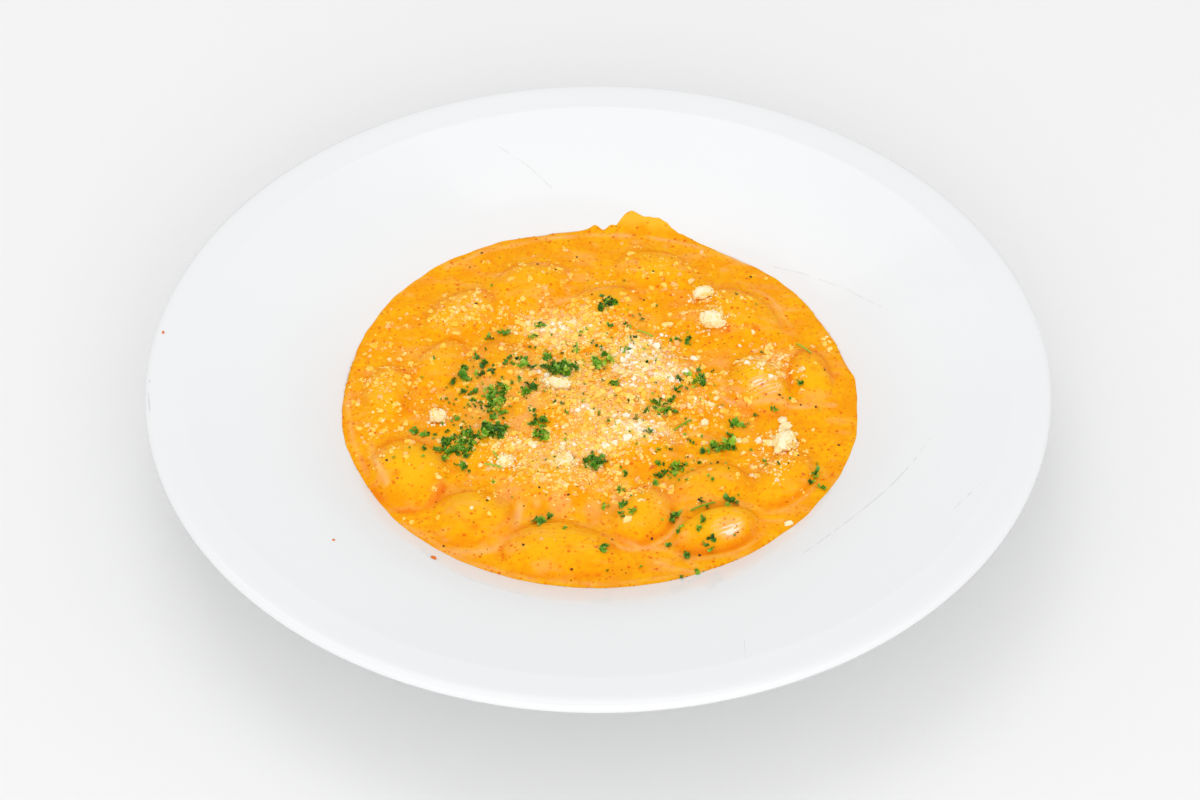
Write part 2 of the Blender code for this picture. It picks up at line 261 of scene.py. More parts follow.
def distance_to_line(x, y, points):
    """How far arrays of places lie from a line through points."""
    nearest = np.full(np.shape(x), 1e6)
    for (x0, y0), (x1, y1) in zip(points, points[1:]):
        dx, dy = x1 - x0, y1 - y0
        along = np.clip(((x - x0) * dx + (y - y0) * dy) / (dx * dx + dy * dy), 0, 1)
        nearest = np.minimum(nearest, np.hypot(x - x0 - along * dx, y - y0 - along * dy))
    return nearest


def pool_edge(angle):
    """Radius of the sauce's outline: nearly round, with the ragged smear at the back."""
    degrees = np.degrees(angle) % 360.0
    marks, reaches = zip(*OUTLINE)
    reach = sum(np.interp((degrees + turn) % 360.0, marks, reaches) for turn in (-0.7, -0.25, 0.25, 0.7)) / 4
    ripple = 0.1 * np.sin(23 * angle) + 0.07 * np.sin(57 * angle + 2)
    ragged = 0.1 * np.sin(degrees * 2.9) * np.clip(reach - POOL_RADIUS - 0.8, 0, 1)
    return reach + ripple + ragged


def packed(start):
    """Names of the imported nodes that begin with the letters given, in order."""
    return sorted(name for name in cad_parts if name.startswith(start))


def packed_form(name):
    """Low and high corner (mm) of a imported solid's box, and its faces as a tree for rays (metres)."""
    low, high = (np.array(corner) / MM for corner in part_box(name))
    bm = bmesh.new()
    bm.from_mesh(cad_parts[name].data)
    form = BVHTree.FromBMesh(bm)
    bm.free()
    return low, high, form


def mesh_points(mesh):
    """A mesh's points, one in each row."""
    flat = np.zeros(len(mesh.vertices) * 3)
    mesh.vertices.foreach_get("co", flat)
    return flat.reshape(-1, 3)


def measure_dumpling(name, number):
    """Place, reach, heading and height of a packed gnocco, read from its widest ring and its top."""
    points = mesh_points(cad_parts[name].data) / MM
    widest = points[np.abs(points[:, 2] - WIDEST_Z) < 0.02][:, :2]
    middle = (widest.min(0) + widest.max(0)) / 2
    _, axes = np.linalg.eigh((widest - middle).T @ (widest - middle))
    along, across = axes[:, 1], axes[:, 0]
    reach_along = (widest - middle) @ along
    reach_across = (widest - middle) @ across
    middle = middle + along * (reach_along.max() + reach_along.min()) / 2
    middle = middle + across * (reach_across.max() + reach_across.min()) / 2
    near = np.hypot(*(points[:, :2] - middle).T) < 3.0
    return SimpleNamespace(name=name, number=number, middle=middle, along=along, across=across,
                           half_length=np.ptp(reach_along) / 2, half_width=np.ptp(reach_across) / 2,
                           rise=points[near, 2].max() - LEVEL)


DUMPLINGS = [measure_dumpling(name, number) for number, name in enumerate(packed("gnocco_"), start=1)]
# for each gnocco: width of the sauce's fillet round it, how much its yellow shows, how much it is ridged
LOOKS = {1: (1.0, 0.9, 0.05), 2: (2.2, 0.6, 0.06), 3: (2.6, 0.6, 0.1), 4: (1.8, 0.65, 0.05),
         5: (1.1, 0.85, 0.1), 6: (5.0, 0.35, 0.05), 7: (4.2, 0.45, 0.06), 8: (2.6, 1.0, 0.14),
         9: (2.8, 0.75, 0.08), 10: (4.5, 0.5, 0.06), 11: (3.6, 0.55, 0.06), 12: (5.0, 0.35, 0.04),
         13: (5.0, 0.4, 0.04), 14: (4.6, 0.6, 0.05), 15: (4.2, 0.65, 0.06), 16: (5.0, 0.5, 0.05)}
HIDDEN_LOOK = (6.0, 0.2, 0.03)
# a gnocco's crease: the way it faces in degrees, how far it reaches round, how deep its orange of painted
# shade is, and how pale the painted highlight on the skin beside it is
CREASES = {3: (120.0, 70.0, 0.45, 0.2), 4: (-70.0, 95.0, 0.7, 0.45), 5: (-80.0, 100.0, 0.9, 0.3),
           7: (-60.0, 80.0, 0.6, 0.25), 8: (-90.0, 70.0, 0.4, 0.0), 9: (180.0, 60.0, 0.6, 0.2),
           10: (30.0, 60.0, 0.3, 0.35)}
# a gnocco's pale streaked patch: middle and reach along and across it, and whether its ridges run along it
PALE_PATCHES = {8: (-0.28, -0.02, 0.36, 0.62, False), 5: (-0.13, 0.4, 0.42, 0.42, True)}
RIDGE_PITCH = 1.5
# how far the sauce heaped on a gnocco reaches past it: shift in x and y, and more reach along and across it
HEAPED = {1: (-2.0, 0.3, 1.2, 2.2), 2: (0.3, -1.0, 0.3, 1.6), 3: (-0.4, -2.2, 0.8, 2.2)}

# lines in the sauce's skin, the deep ones painted shade along creases and the pale ones painted highlight
# along the meniscus: width, lift, deep, pale, and the places along it
SKIN_LINES = [
    (1, 0.12, 0, 0.75, [(-73, -21.5), (-71.8, -28), (-69.6, -34), (-66.5, -41.5)]),
    (1.2, -0.15, 0.9, 0, [(-75, -28), (-73.4, -36), (-70.5, -43), (-66.5, -49), (-61.5, -52),
        (-55.5, -51.5), (-50.8, -47.5), (-48.5, -41.5)]),
    (1, -0.1, 0.55, 0, [(-52.4, -55.7), (-50.8, -61), (-47.3, -64.8), (-42.5, -66.6), (-38, -66.4),
        (-33.5, -65), (-30, -61), (-27.8, -56.5), (-27, -51.5), (-28.5, -45.5)]),
    (1.2, 0.1, 0, 0.6, [(-45, -69.3), (-38, -69.4), (-32, -67.6), (-27.8, -62.5), (-25.2, -56.5),
        (-24.4, -50.5), (-25.4, -44)]),
    (1, -0.1, 0.5, 0, [(-28.6, -65), (-30, -68.5), (-29, -73), (-25.5, -77), (-20.8, -79.4),
        (-11.7, -80.6), (0.6, -79.2)]),
    (0.6, -0.08, 0.4, 0, [(-45.8, -53), (-41.2, -60), (-36, -58.8), (-33.5, -52.5)]),
    (0.8, 0.12, 0, 0.45, [(6, -63.6), (13.3, -67.7), (19.6, -67.9), (25.1, -70.5), (29.9, -75)]),
    (0.9, 0.18, 0, 0.7, [(38.4, 1.3), (43.4, -3), (50.2, -5.6), (58, -5.2), (66.5, -5), (76.4, -4)]),
    (0.8, 0.1, 0, 0.4, [(40.4, 4.3), (46, 0), (50, -2.4)]),
    (0.7, -0.06, 0.95, 0, [(70.2, 19), (69.1, 15.9), (68.2, 11.6)]),
    (1.3, -0.05, 0.7, 0, [(72.5, 13.5), (77, 9)]),
    (0.8, -0.08, 0.7, 0, [(51, -50), (56.9, -50.2), (61.4, -48)]),
    (0.7, 0.1, 0.2, 0.2, [(41.8, 59.1), (53.1, 53.8), (60.1, 43.2), (61.5, 33.6)]),
    (0.6, 0.08, 0.35, 0, [(44.1, 54.5), (50.7, 45.7), (53.7, 33.6)]),
    (0.9, 0.1, 0, 0.4, [(-13.3, 45.7), (-1.7, 50.9), (6.5, 52.7)]),
    (1.1, 0.12, 0, 0.5, [(20.6, -18.9), (31.7, -17.3), (37.1, -20.4)]),
    (0.8, 0.1, 0, 0.5, [(17.6, -73.5), (24.9, -76.4), (30.1, -78)]),
    (1, 0.1, 0, 0.5, [(-28.1, -18.9), (-19.2, -23.6), (-13.6, -27.5)]),
    (0.7, -0.08, 0.4, 0, [(-66.8, 1.9), (-61.8, -7.8)]),
    (0.75, 0.14, 0, 0.55, [(-52, 63.5), (-40.9, 71.2), (-20.8, 78.4), (-1.7, 81), (15, 80.1),
        (26.9, 77.2), (42.3, 71), (52, 64.5)]),
    (0.9, 0.1, 0, 0.35, [(-80.8, 8), (-81.2, -6), (-78.8, -20), (-73.2, -36)]),
    (0.6, 0.08, 0, 0.35, [(-61, -57), (-40, -73.5), (-18, -81.3), (4, -82.8), (26, -78.7)])]

# grated cheese: middle x and y, spread along x and y, share of all crumbs, and how pale they are there
CHEESE_PATCHES = [
    (6, 2, 16, 17, 0.17, 0.38), (13.5, 21, 5.5, 4.2, 0.05, 0.85), (17, 8.5, 6, 4.5, 0.06, 0.9),
    (12.5, -17.5, 5.5, 2.6, 0.045, 0.92), (4, -24, 3, 1.5, 0.01, 0.85), (-14, 31.5, 6, 2.8, 0.03, 0.8),
    (-3.5, -8.5, 2.2, 1.6, 0.006, 1), (9, -14, 8, 6, 0.04, 0.6), (-14, 12, 8, 5, 0.045, 0.5),
    (-4, -3, 8, 6, 0.045, 0.45), (-11, -26, 6, 5, 0.03, 0.7), (2, -20, 9, 5, 0.045, 0.5),
    (-15, 34, 10, 7, 0.07, 0.5), (-2, 32, 12, 7, 0.04, 0.55), (-67, 4, 7, 17, 0.05, 0.45),
    (-46, 39, 6, 5, 0.022, 0.5), (-16, -34, 12, 6, 0.05, 0.5), (2, -41, 11, 5, 0.03, 0.55),
    (34, 0, 12, 12, 0.04, 0.45), (34, -4, 4, 1.5, 0.004, 0.9), (37, 41, 8, 6, 0.016, 0.5),
    (56, 15, 5, 6, 0.03, 0.7), (55, -28, 6, 7, 0.02, 0.65), (-20, 60, 12, 6, 0.012, 0.4),
    (20, 60, 8, 6, 0.012, 0.35), (-34, 4, 10, 13, 0.045, 0.4), (-27, -24, 7, 4, 0.02, 0.6),
    (75.5, 24.6, 1.6, 1.2, 0.001, 0.7), (0, 0, 40, 40, 0.035, 0.4)]
# the largest loose crumbs: place, size and how pale
CRUMB_PLACES = [
    (0.1, 52.8, 0.6, 0.3), (31.1, 53.2, 0.8, 0.6), (23.9, 57.3, 0.7, 0.3), (22.3, 52, 1.2, 0.5),
    (18.2, 51.1, 1.3, 0.35), (34.4, -15.6, 1.5, 0.8), (9, -58, 1.5, 0.7), (-39.3, -52.9, 0.8, 0.8),
    (59.3, -60.1, 1.1, 0.8), (69.1, -18.4, 0.7, 0.6), (31.7, -4.1, 0.7, 0.9), (38.4, -4, 0.9, 0.8),
    (75, 24.9, 0.9, 0.6), (76.9, 23.6, 0.7, 0.6), (76.1, 25.6, 0.7, 0.7), (-69, 14.4, 0.9, 0.7),
    (-76.9, -18, 1.1, 0.4), (-72.7, -10, 0.7, 0.7), (-69.4, -14, 0.7, 0.8), (-19.6, 8.6, 1.4, 1),
    (-16.8, 6.9, 1.1, 1), (-10.6, 5.6, 1.3, 1), (-25.7, -23.5, 1.4, 0.9), (-27.3, -25.3, 1, 0.8),
    (-37.3, -34.3, 0.9, 0.7), (21.3, -2.8, 0.8, 0.9), (16.4, -33.5, 0.5, 0.8), (-49, 38, 1.2, 0.4),
    (-45, 38.9, 1.1, 0.5), (-43.1, 34.6, 1, 0.5), (-25.2, 61.7, 0.7, 0.4), (-0.5, 52.5, 0.7, 0.7),
    (-58.1, -59.5, 0.9, 0.45), (-49.5, -56.9, 1.1, 0.4), (-33.8, -55.2, 0.8, 0.5), (-60.5, -58, 0.6, 0.5),
    (59.6, -14.2, 1.8, 0.8), (60.6, -16.8, 1.9, 0.85), (63.6, -20.4, 1.2, 0.7), (55.6, -24.6, 1.8, 0.8),
    (53.7, -29.7, 0.7, 0.7), (56.3, -32.8, 0.6, 0.7), (57.7, -37.3, 0.7, 0.5), (58.1, -40.4, 0.6, 0.5),
    (50.8, -32.8, 0.6, 0.6), (-3.8, -7.6, 1.2, 1), (-2.1, -10, 0.9, 0.9), (6.7, -15.6, 1.8, 1),
    (9.5, -21.9, 1.4, 0.95), (7.5, 18.5, 1.3, 1), (10.9, 20.2, 1.1, 1), (19.5, 21, 1.6, 0.95),
    (17.2, 22.7, 1.1, 0.95), (-10.3, -29.7, 1.4, 0.9), (-8.1, -33.5, 1.3, 0.8), (-12, -26.6, 1.2, 0.9),
    (11.5, -17, 1.4, 1), (9, -12, 1.3, 1), (5, -11.5, 1.2, 0.9), (13, -20, 1.1, 0.9), (4, -19, 1.1, 0.9),
    (12, 12, 1.3, 0.95), (15.5, 10, 1.2, 0.9), (18, 14.5, 1.1, 1), (8, 14.5, 1.1, 0.95), (14.5, 16.5, 1, 1)]

# crumbs' share on a square millimetre, times this, is how closely they cover it
FULL_COVER = 420
# share of the crumbs that are rosy with sauce, and how rosy they are
ROSY_SHARE = 0.24
ROSY_DEPTH = 0.65
# the level that the largest crumbs' places were measured on
HEAP_LEVEL = 26.0
# how many grains lie on and round each packed lump
LUMP_GRAINS = 70
# the smallest grain: its points, its faces and their depth of colour
GRAIN = (np.array([(1, 0, 0), (-1, 0, 0), (0, 1, 0), (0, -1, 0), (0, 0, 1), (0, 0, -1)], float),
         np.array([(0, 2, 4), (2, 1, 4), (1, 3, 4), (3, 0, 4), (2, 0, 5), (1, 2, 5), (3, 1, 5), (0, 3, 5)]),
         np.ones(6))
# reddish spots where chilli has soaked into the skin: place, radius and depth
DEEP_SPOTS = [
    (42.9, 29.6, 1.5, 0.95), (52.2, 29.7, 1.6, 0.95), (49.6, 31, 1.2, 0.6), (36.9, 42.6, 2.2, 0.5),
    (12.5, 64.7, 1.6, 0.6), (-63.6, -39, 1.3, 0.7), (-38, -61.6, 1.7, 0.75), (-48.5, -50, 1.2, 0.6),
    (-9, -71, 1.2, 0.6), (4.5, -68, 1.5, 0.6), (41, -26.5, 1.4, 0.6), (-62, 10, 1.8, 0.6),
    (-61, -7, 1.5, 0.7), (-71.5, 12.5, 1.4, 0.5), (33, 45, 2, 0.6), (31, 41, 1.4, 0.5),
    (70.5, 9.5, 1.3, 0.5), (52.5, -52, 1.2, 0.4)]


def dome(piece, x, y):
    """Height of a gnocco's coated top, and each place's share of its reach: in all, along and across."""
    shift_x, shift_y, more_along, more_across = HEAPED.get(piece.number, (0, 0, 0, 0))
    dx, dy = x - piece.middle[0] - shift_x, y - piece.middle[1] - shift_y
    u = (dx * piece.along[0] + dy * piece.along[1]) / (piece.half_length + COAT + more_along)
    v = (dx * piece.across[0] + dy * piece.across[1]) / (piece.half_width + COAT + more_across)
    n = piece.number
    out = np.hypot(u, v) / (1 + 0.05 * noise_field(x, y, 9.0, 40 + n))
    body = WIDEST_Z + (LEVEL - WIDEST_Z + piece.rise + COAT) * np.clip(1 - out ** 2.2, 0, 1) ** 0.55
    dents = 0.16 * noise_field(x, y, 6.0, 70 + n) * ease(1 - out, 0.0, 0.3)
    return np.where(out < 1, body + dents, WIDEST_Z - 6 * (out - 1)), out, u, v


def far_side(piece, y):
    """0 on a gnocco's near half, rising to 1 at its far side."""
    return np.clip((y - piece.middle[1]) / piece.half_length, 0, 1)


def ridge_wave(piece, u, v):
    """Ridges of a gnocco, across its length except where its pale patch says otherwise."""
    along = PALE_PATCHES.get(piece.number, (0, 0, 0, 0, True))[4]
    reach = v * piece.half_width if along else u * piece.half_length
    return np.sin(2 * math.pi * reach / RIDGE_PITCH + 0.9 * np.sin(3.1 * u + 2.3 * v + piece.number))


def heap_at(x, y):
    """How thick the grated cheese lies, from 0 to 1."""
    return np.clip(bell(x, y, 6, 3, 24, 26) + 0.5 * bell(x, y, -20, 37, 12, 9), 0, 1)


def cheese_density(x, y):
    """How closely the grated cheese covers each place, from 0 to 1."""
    total = np.zeros(np.shape(x))
    for middle_x, middle_y, spread_x, spread_y, share, _ in CHEESE_PATCHES:
        near = np.exp(-((x - middle_x) / spread_x) ** 2 / 2 - ((y - middle_y) / spread_y) ** 2 / 2)
        total = total + share / (spread_x * spread_y) * near
    return np.clip(total * FULL_COVER, 0, 1)


def sauce_height(x, y):
    """Height of the sauce's skin over pool and gnocchi at arrays of places."""
    radius, angle = np.hypot(x, y), np.arctan2(y, x)
    inside = np.clip(pool_edge(angle) - radius, 0.0, None)
    pool = LEVEL + SWELL * np.sqrt(np.clip(inside / EDGE_ROUND, 0, 1))
    pool = pool + 0.16 * noise_field(x, y, 10.0, 1) * ease(inside, 0.5, 4.0)
    film = plate_height(radius) + SMEAR_FILM * ease(inside, -0.2, 1.6)
    height = soft_max(pool, film, 0.5)
    for piece in DUMPLINGS:
        top, out, u, v = dome(piece, x, y)
        fillet, _, ridged = LOOKS.get(piece.number, HIDDEN_LOOK)
        fillet = fillet + max(0.0, FAR_FILLET - fillet) * far_side(piece, y)
        ridges = ridged * ridge_wave(piece, u, v) * ease(1 - out, 0.05, 0.4)
        height = soft_max(height, top + ridges, fillet)
    for width, lift, _, _, points in SKIN_LINES:
        height = height + lift * band(distance_to_line(x, y, points), 0, width)
    crumbly = 0.3 * noise_field(x, y, 4.0, 3) + 0.16 * noise_field(x, y, 1.9, 4)
    rough = 0.05 * noise_field(x, y, 2.2, 2) + heap_at(x, y) * crumbly
    height = height + rough * ease(inside, 0.3, 2.0)
    return np.where(inside > 0, height, plate_height(radius) + GAP)


def on_skin(places, level):
    """Places as seen on a level plane, slid along the line of sight onto the sauce's skin."""
    x, y = places[:, 0], places[:, 1]
    for _ in range(6):
        y = places[:, 1] - (sauce_height(x, y) - level) / math.tan(CAMERA_ELEVATION)
    return np.column_stack([x, y])


def raised(places, lift):
    """Places in plan with their height: as far over the sauce's skin as lift says."""
    return np.column_stack([places, sauce_height(*places.T) + lift])


def new_shape(add, **settings):
    """The object that one of Blender's primitives makes, with nothing else selected."""
    bpy.ops.object.select_all(action="DESELECT")
    add(**settings)
    return bpy.context.object


def finish_piece(piece, name, material, slot, *nodes):
    """Name a piece, give it its finish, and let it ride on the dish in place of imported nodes."""
    piece.name = name
    piece.data.name = name
    piece.data.materials.append(material)
    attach(piece, "root")
    if nodes:
        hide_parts(*nodes)
    return piece


def add_attribute(mesh, name, colours):
    """Store one colour, with or without a fourth number, for each point of a mesh."""
    layer = mesh.color_attributes.new(name=name, type="FLOAT_COLOR", domain="POINT")
    full = np.ones((len(mesh.vertices), 4), np.float32)
    full[:, :colours.shape[1]] = colours
    layer.data.foreach_set("color", full.ravel())


# Plate


# thin grey lines painted on the glaze: half width, strength, and the places along each
PLATE_MARKS = [
    (0.35, 0.38, [(62.5, -76.1), (76.4, -63.4), (89.9, -50.5), (98.1, -40.4), (104.6, -29.6)]),
    (0.4, 0.25, [(-34.8, 113.8), (-25.2, 106.6), (-16.3, 97.8)]),
    (0.4, 0.22, [(60.3, 62.5), (69.2, 57.5), (82.1, 47.6), (94.4, 34.9)]),
    (0.3, 0.35, [(108.9, -64.1), (114.0, -58.5), (119.2, -53.0)]),
    (0.3, 0.2, [(42.7, -117.1), (42.7, -125.1)]),
    (0.5, 0.35, [(-143.2, -9.8), (-142.7, -17.2), (-141.5, -24.5)])]
LINE_AND_SHADE_GREY = "#A2A2A4"


def mark_nodes(tree, flat, start, end, half_width):
    """Nearness, from 0 to 1, of a place in plan to a line between two places."""
    start, end = (Vector((x * MM, y * MM, 0)) for x, y in (start, end))
    line = end - start
    away = vector_math(tree, "SUBTRACT", flat, start)
    along = vector_math(tree, "DOT_PRODUCT", away, line / line.length_squared, output=1)
    along = add_node(tree, "Clamp", None, {"Value": along}).outputs[0]
    foot = vector_math(tree, "MULTIPLY", along, line)
    return ramp(tree, vector_math(tree, "DISTANCE", away, foot, output=1), half_width * MM, 0.0)


def porcelain_material():
    """Glazed porcelain: fired white clay under clear glass, so a clean white with a sharp thin gloss, thin
    grey lines, and painted shade along the far edge.
    """
    material, tree, shader = new_material("glazed_porcelain", Roughness=0.1, IOR=1.5, Specular_IOR_Level=0.4)
    colour = mix(tree, object_noise(tree, 60.0), "#E9EAEB", "#ECEDEE")
    place = own_place(tree)
    flat = vector_math(tree, "MULTIPLY", place, (1, 1, 0))
    uneven = ramp(tree, object_noise(tree, 3.0, 4.0), 0.35, 0.6)
    for half_width, strength, points in PLATE_MARKS:
        for start, end in zip(points, points[1:]):
            near = mark_nodes(tree, flat, start, end, half_width)
            share = calculate(tree, "MULTIPLY", calculate(tree, "MULTIPLY", near, uneven), strength)
            colour = mix(tree, share, colour, LINE_AND_SHADE_GREY)
    # painted shade: a thin grey line along the far edge of the rim, where the edge faces the dark room behind
    reach = vector_math(tree, "LENGTH", flat, output=1)
    outer = ramp(tree, reach, (PLATE_RADIUS - 1.4) * MM, (PLATE_RADIUS - 0.5) * MM, 0.0, 0.3)
    far = ramp(tree, add_node(tree, "SeparateXYZ", None, {0: place}).outputs["Y"], 0.0, 0.08)
    colour = mix(tree, calculate(tree, "MULTIPLY", outer, far), colour, LINE_AND_SHADE_GREY)
    feed(tree, shader, "Base Color", colour)
    feed(tree, shader, "Roughness", ramp(tree, object_noise(tree, 25.0), 0.3, 0.7, 0.08, 0.16))
    return material


def plate_section():
    """Radius and height along the plate's section, from the floor out, over the edge and back under."""
    inner = list(np.linspace(50.0, 104.0, 34)) + list(np.linspace(107.0, 131.0, 9))
    inner += list(np.linspace(131.6, 134.4, 8)) + [136.5, 139.0, 141.0, 142.6]
    section = [(r, float(plate_height(r))) for r in inner]
    edge = PLATE_RADIUS - EDGE_REACH
    for step in range(1, 10):
        turn = math.pi / 2 - step * math.pi / 9
        out = EDGE_REACH * math.cos(turn) ** 0.8 if step < 9 else 0.0
        section.append((edge + out, RIM_TOP - EDGE_HALF + EDGE_HALF * math.sin(turn)))
    for r in np.linspace(140.0, 63.0, 30):
        slope = float(plate_height(r + 0.5) - plate_height(r - 0.5))
        section.append((float(r), float(plate_height(r)) - WALL * math.hypot(1.0, slope)))
    return section + FOOT


def make_plate():
    """A disc for the floor, then ring after ring extruded along the section and closed underneath."""
    section = plate_section()
    radius, height = section[0]
    piece = new_shape(bpy.ops.mesh.primitive_circle_add, vertices=PLATE_STEPS, radius=radius * MM,
                      fill_type="TRIFAN", location=(0, 0, height * MM))
    bpy.ops.object.transform_apply(location=True)
    bpy.ops.object.mode_set(mode="EDIT")
    bpy.ops.mesh.select_all(action="SELECT")
    bpy.ops.mesh.region_to_loop()
    for new_radius, new_height in section[1:]:
        bpy.ops.mesh.extrude_edges_move()
        share = new_radius / radius
        bpy.ops.transform.resize(value=(share, share, 1.0))
        bpy.ops.transform.translate(value=(0, 0, (new_height - height) * MM))
        radius, height = new_radius, new_height
    bpy.ops.mesh.edge_face_add()
    bpy.ops.mesh.select_all(action="SELECT")
    bpy.ops.mesh.normals_make_consistent(inside=False)
    bpy.ops.object.mode_set(mode="OBJECT")
    bpy.ops.object.shade_smooth()
    finish_piece(piece, "plate_glazed", porcelain_material(), "porcelain", "plate")


# Sauce


def sauce_material():
    """Cream and tomato sauce: an opaque orange emulsion, full of tiny flecks, with a wet, uneven shine."""
    material, tree, shader = new_material(
        "cream_tomato_sauce", Roughness=0.3, IOR=1.36, Specular_IOR_Level=0.08, Subsurface_Weight=0.08,
        Subsurface_Scale=0.0015, Subsurface_Radius=(1.0, 0.4, 0.1))
    tone = add_node(tree, "Attribute", {"attribute_name": "tone"}).outputs
    yellow, deep, pale = channels(tree, tone["Color"])
    place = own_place(tree)
    colour = mix(tree, ramp(tree, object_noise(tree, 7.0, 4.0), 0.35, 0.68), "#FBB206", "#F79E04")
    fine_mottle = ramp(tree, object_noise(tree, 1.8, 4.0), 0.42, 0.72, 0.0, 0.85)
    colour = mix(tree, fine_mottle, colour, "#F59608")
    # creamier streaks, longer from left to right
    streaks = object_noise(tree, 4.5, 3.0, vector_math(tree, "MULTIPLY", place, (0.35, 1, 1)))
    colour = mix(tree, ramp(tree, streaks, 0.5, 0.74, 0.0, 0.36), colour, "#FCB468")
    colour = mix(tree, yellow, colour, "#FEBC10")
    # deep orange: painted shade in creases and at the gnocchi's far sides, with real reddish spots and
    # patches
    colour = mix(tree, deep, colour, "#F07C06")
    # pale: painted highlights beside creases and along the meniscus, with cream patches and pale streaks
    cream = mix(tree, ramp(tree, object_noise(tree, 3.2), 0.4, 0.6), "#FDCB78", "#FAB47E")
    cream = mix(tree, ramp(tree, pale, 0.72, 0.98), cream, "#FFE8CC")
    colour = mix(tree, pale, colour, cream)
    # finely chopped tomato and chilli, seen as soft spots 0.5 to 1 mm wide, and rarer dark ones
    for size, reach, hue, strength in ((2.1, 0.3, "#EE7C08", 0.75), (4.2, 0.18, "#E25A0C", 0.8),
                                       (5.8, 0.075, "#84400E", 0.8)):
        fleck = ramp(tree, cells(tree, place, size)["Distance"], reach, reach * 0.4, 0.0, strength)
        colour = mix(tree, fleck, colour, hue)
    # cheese melted into the skin: grains about 1.5 mm wide in creams and yellows, darker orange between them,
    # partly sauce and partly painted shade
    grains = cells(tree, place, 1.5)
    paler, rosier, _ = channels(tree, grains["Color"])
    melted = mix(tree, ramp(tree, paler, 0.2, 0.8), "#FFC840", "#FFDF94")
    melted = mix(tree, ramp(tree, rosier, 0.62, 0.9), melted, "#FDB884")
    melted = mix(tree, ramp(tree, grains["Distance"], 0.35, 0.75, 0.0, 0.8), melted, "#FAB238")
    laid = calculate(tree, "ADD", object_noise(tree, 2.4, 4.0), tone["Alpha"])
    colour = mix(tree, ramp(tree, laid, 0.72, 0.98, 0.0, 0.92), colour, melted)
    feed(tree, shader, "Base Color", colour)
    feed(tree, shader, "Roughness", ramp(tree, object_noise(tree, 3.0), 0.3, 0.7, 0.22, 0.4))
    add_bump(tree, shader, 0.5, 0.4, object_noise(tree, 1.1, 3.0))
    return material


def sauce_tone(x, y):
    """How yellow, how deep and how pale the sauce is at each place, and how much cheese has melted in; deep
    also holds painted shade and pale painted highlights.
    """
    yellow, deep, pale = np.zeros_like(x), np.zeros_like(x), np.zeros_like(x)
    for piece in DUMPLINGS:
        _, out, u, v = dome(piece, x, y)
        _, shown, _ = LOOKS.get(piece.number, HIDDEN_LOOK)
        yellow = np.maximum(yellow, shown * ease(1.0 - out, 0.0, 0.75))
        # painted shade: deeper orange in the crease along each gnocco's far side
        deep = np.maximum(deep, 0.6 * far_side(piece, y) * band(out, 0.96, 0.13))
        if piece.number in CREASES:
            facing, reach, shade_share, highlight_share = CREASES[piece.number]
            way = np.degrees(np.arctan2(y - piece.middle[1], x - piece.middle[0]))
            turn = np.abs((way - facing + 180.0) % 360.0 - 180.0)
            round_it = ease(-turn, -reach, -reach * 0.35)
            # painted shade: deeper orange in the crease; painted highlight: paler skin just outside it
            deep = np.maximum(deep, shade_share * round_it * band(out, 1.02, 0.1))
            pale = np.maximum(pale, highlight_share * round_it * band(out, 1.24, 0.07))
        if piece.number in PALE_PATCHES:
            mid_u, mid_v, reach_u, reach_v, _ = PALE_PATCHES[piece.number]
            patch = np.clip(1.15 - np.hypot((u - mid_u) / reach_u, (v - mid_v) / reach_v), 0, 1)
            streaks = 0.5 + 0.5 * ridge_wave(piece, u, v) + 0.5 * noise_field(x, y, 4.0, 9)
            pale = np.maximum(pale, ease(patch, 0.0, 0.5) * np.clip(0.3 + 0.7 * streaks, 0, 1))
    broken = np.clip(0.7 + 0.6 * noise_field(x, y, 5.0, 11), 0, 1)
    # painted shade along the deep lines and painted highlight along the pale ones, broken up by noise
    for width, _, shade_share, highlight_share, points in SKIN_LINES:
        line = band(distance_to_line(x, y, points), 0, width) * broken
        deep, pale = np.maximum(deep, shade_share * line), np.maximum(pale, highlight_share * line)
    # the smear, where the film is thin
    thin = ease(np.hypot(x, y) + 0.9 * noise_field(x, y, 2.6, 12), POOL_RADIUS - 0.2, POOL_RADIUS + 4.2)
    yellow = np.maximum(yellow, thin)
    deep = np.maximum(deep, 0.3 * ease(thin, 0.0, 0.15) * ease(noise_field(x, y, 1.7, 13), 0.6, 1.8))
    pale = np.maximum(pale, 0.12 * thin)
    for spot_x, spot_y, radius, depth in DEEP_SPOTS:
        deep = np.maximum(deep, depth * bell(x, y, spot_x, spot_y, radius, radius))
    deep = np.maximum(deep, 0.55 * ease(noise_field(x, y, 2.3, 21), 1.5, 2.4))
    creamy = ease(noise_field(x, y, 6.0, 5) + 0.6 * noise_field(x, y, 2.0, 8), 0.9, 1.9)
    rosy = (bell(x, y, -30, -4, 16, 17) + 0.8 * bell(x, y, 36, 14, 10, 5)
            + 0.8 * bell(x, y, -6, -46, 26, 9)) * ease(noise_field(x, y, 5.0, 6), -0.4, 0.9)
    pale = np.maximum(pale, np.maximum(0.35 * creamy, 0.55 * rosy))
    return np.clip(np.stack([yellow, deep, pale, 0.85 * cheese_density(x, y)], axis=-1), 0, 1)


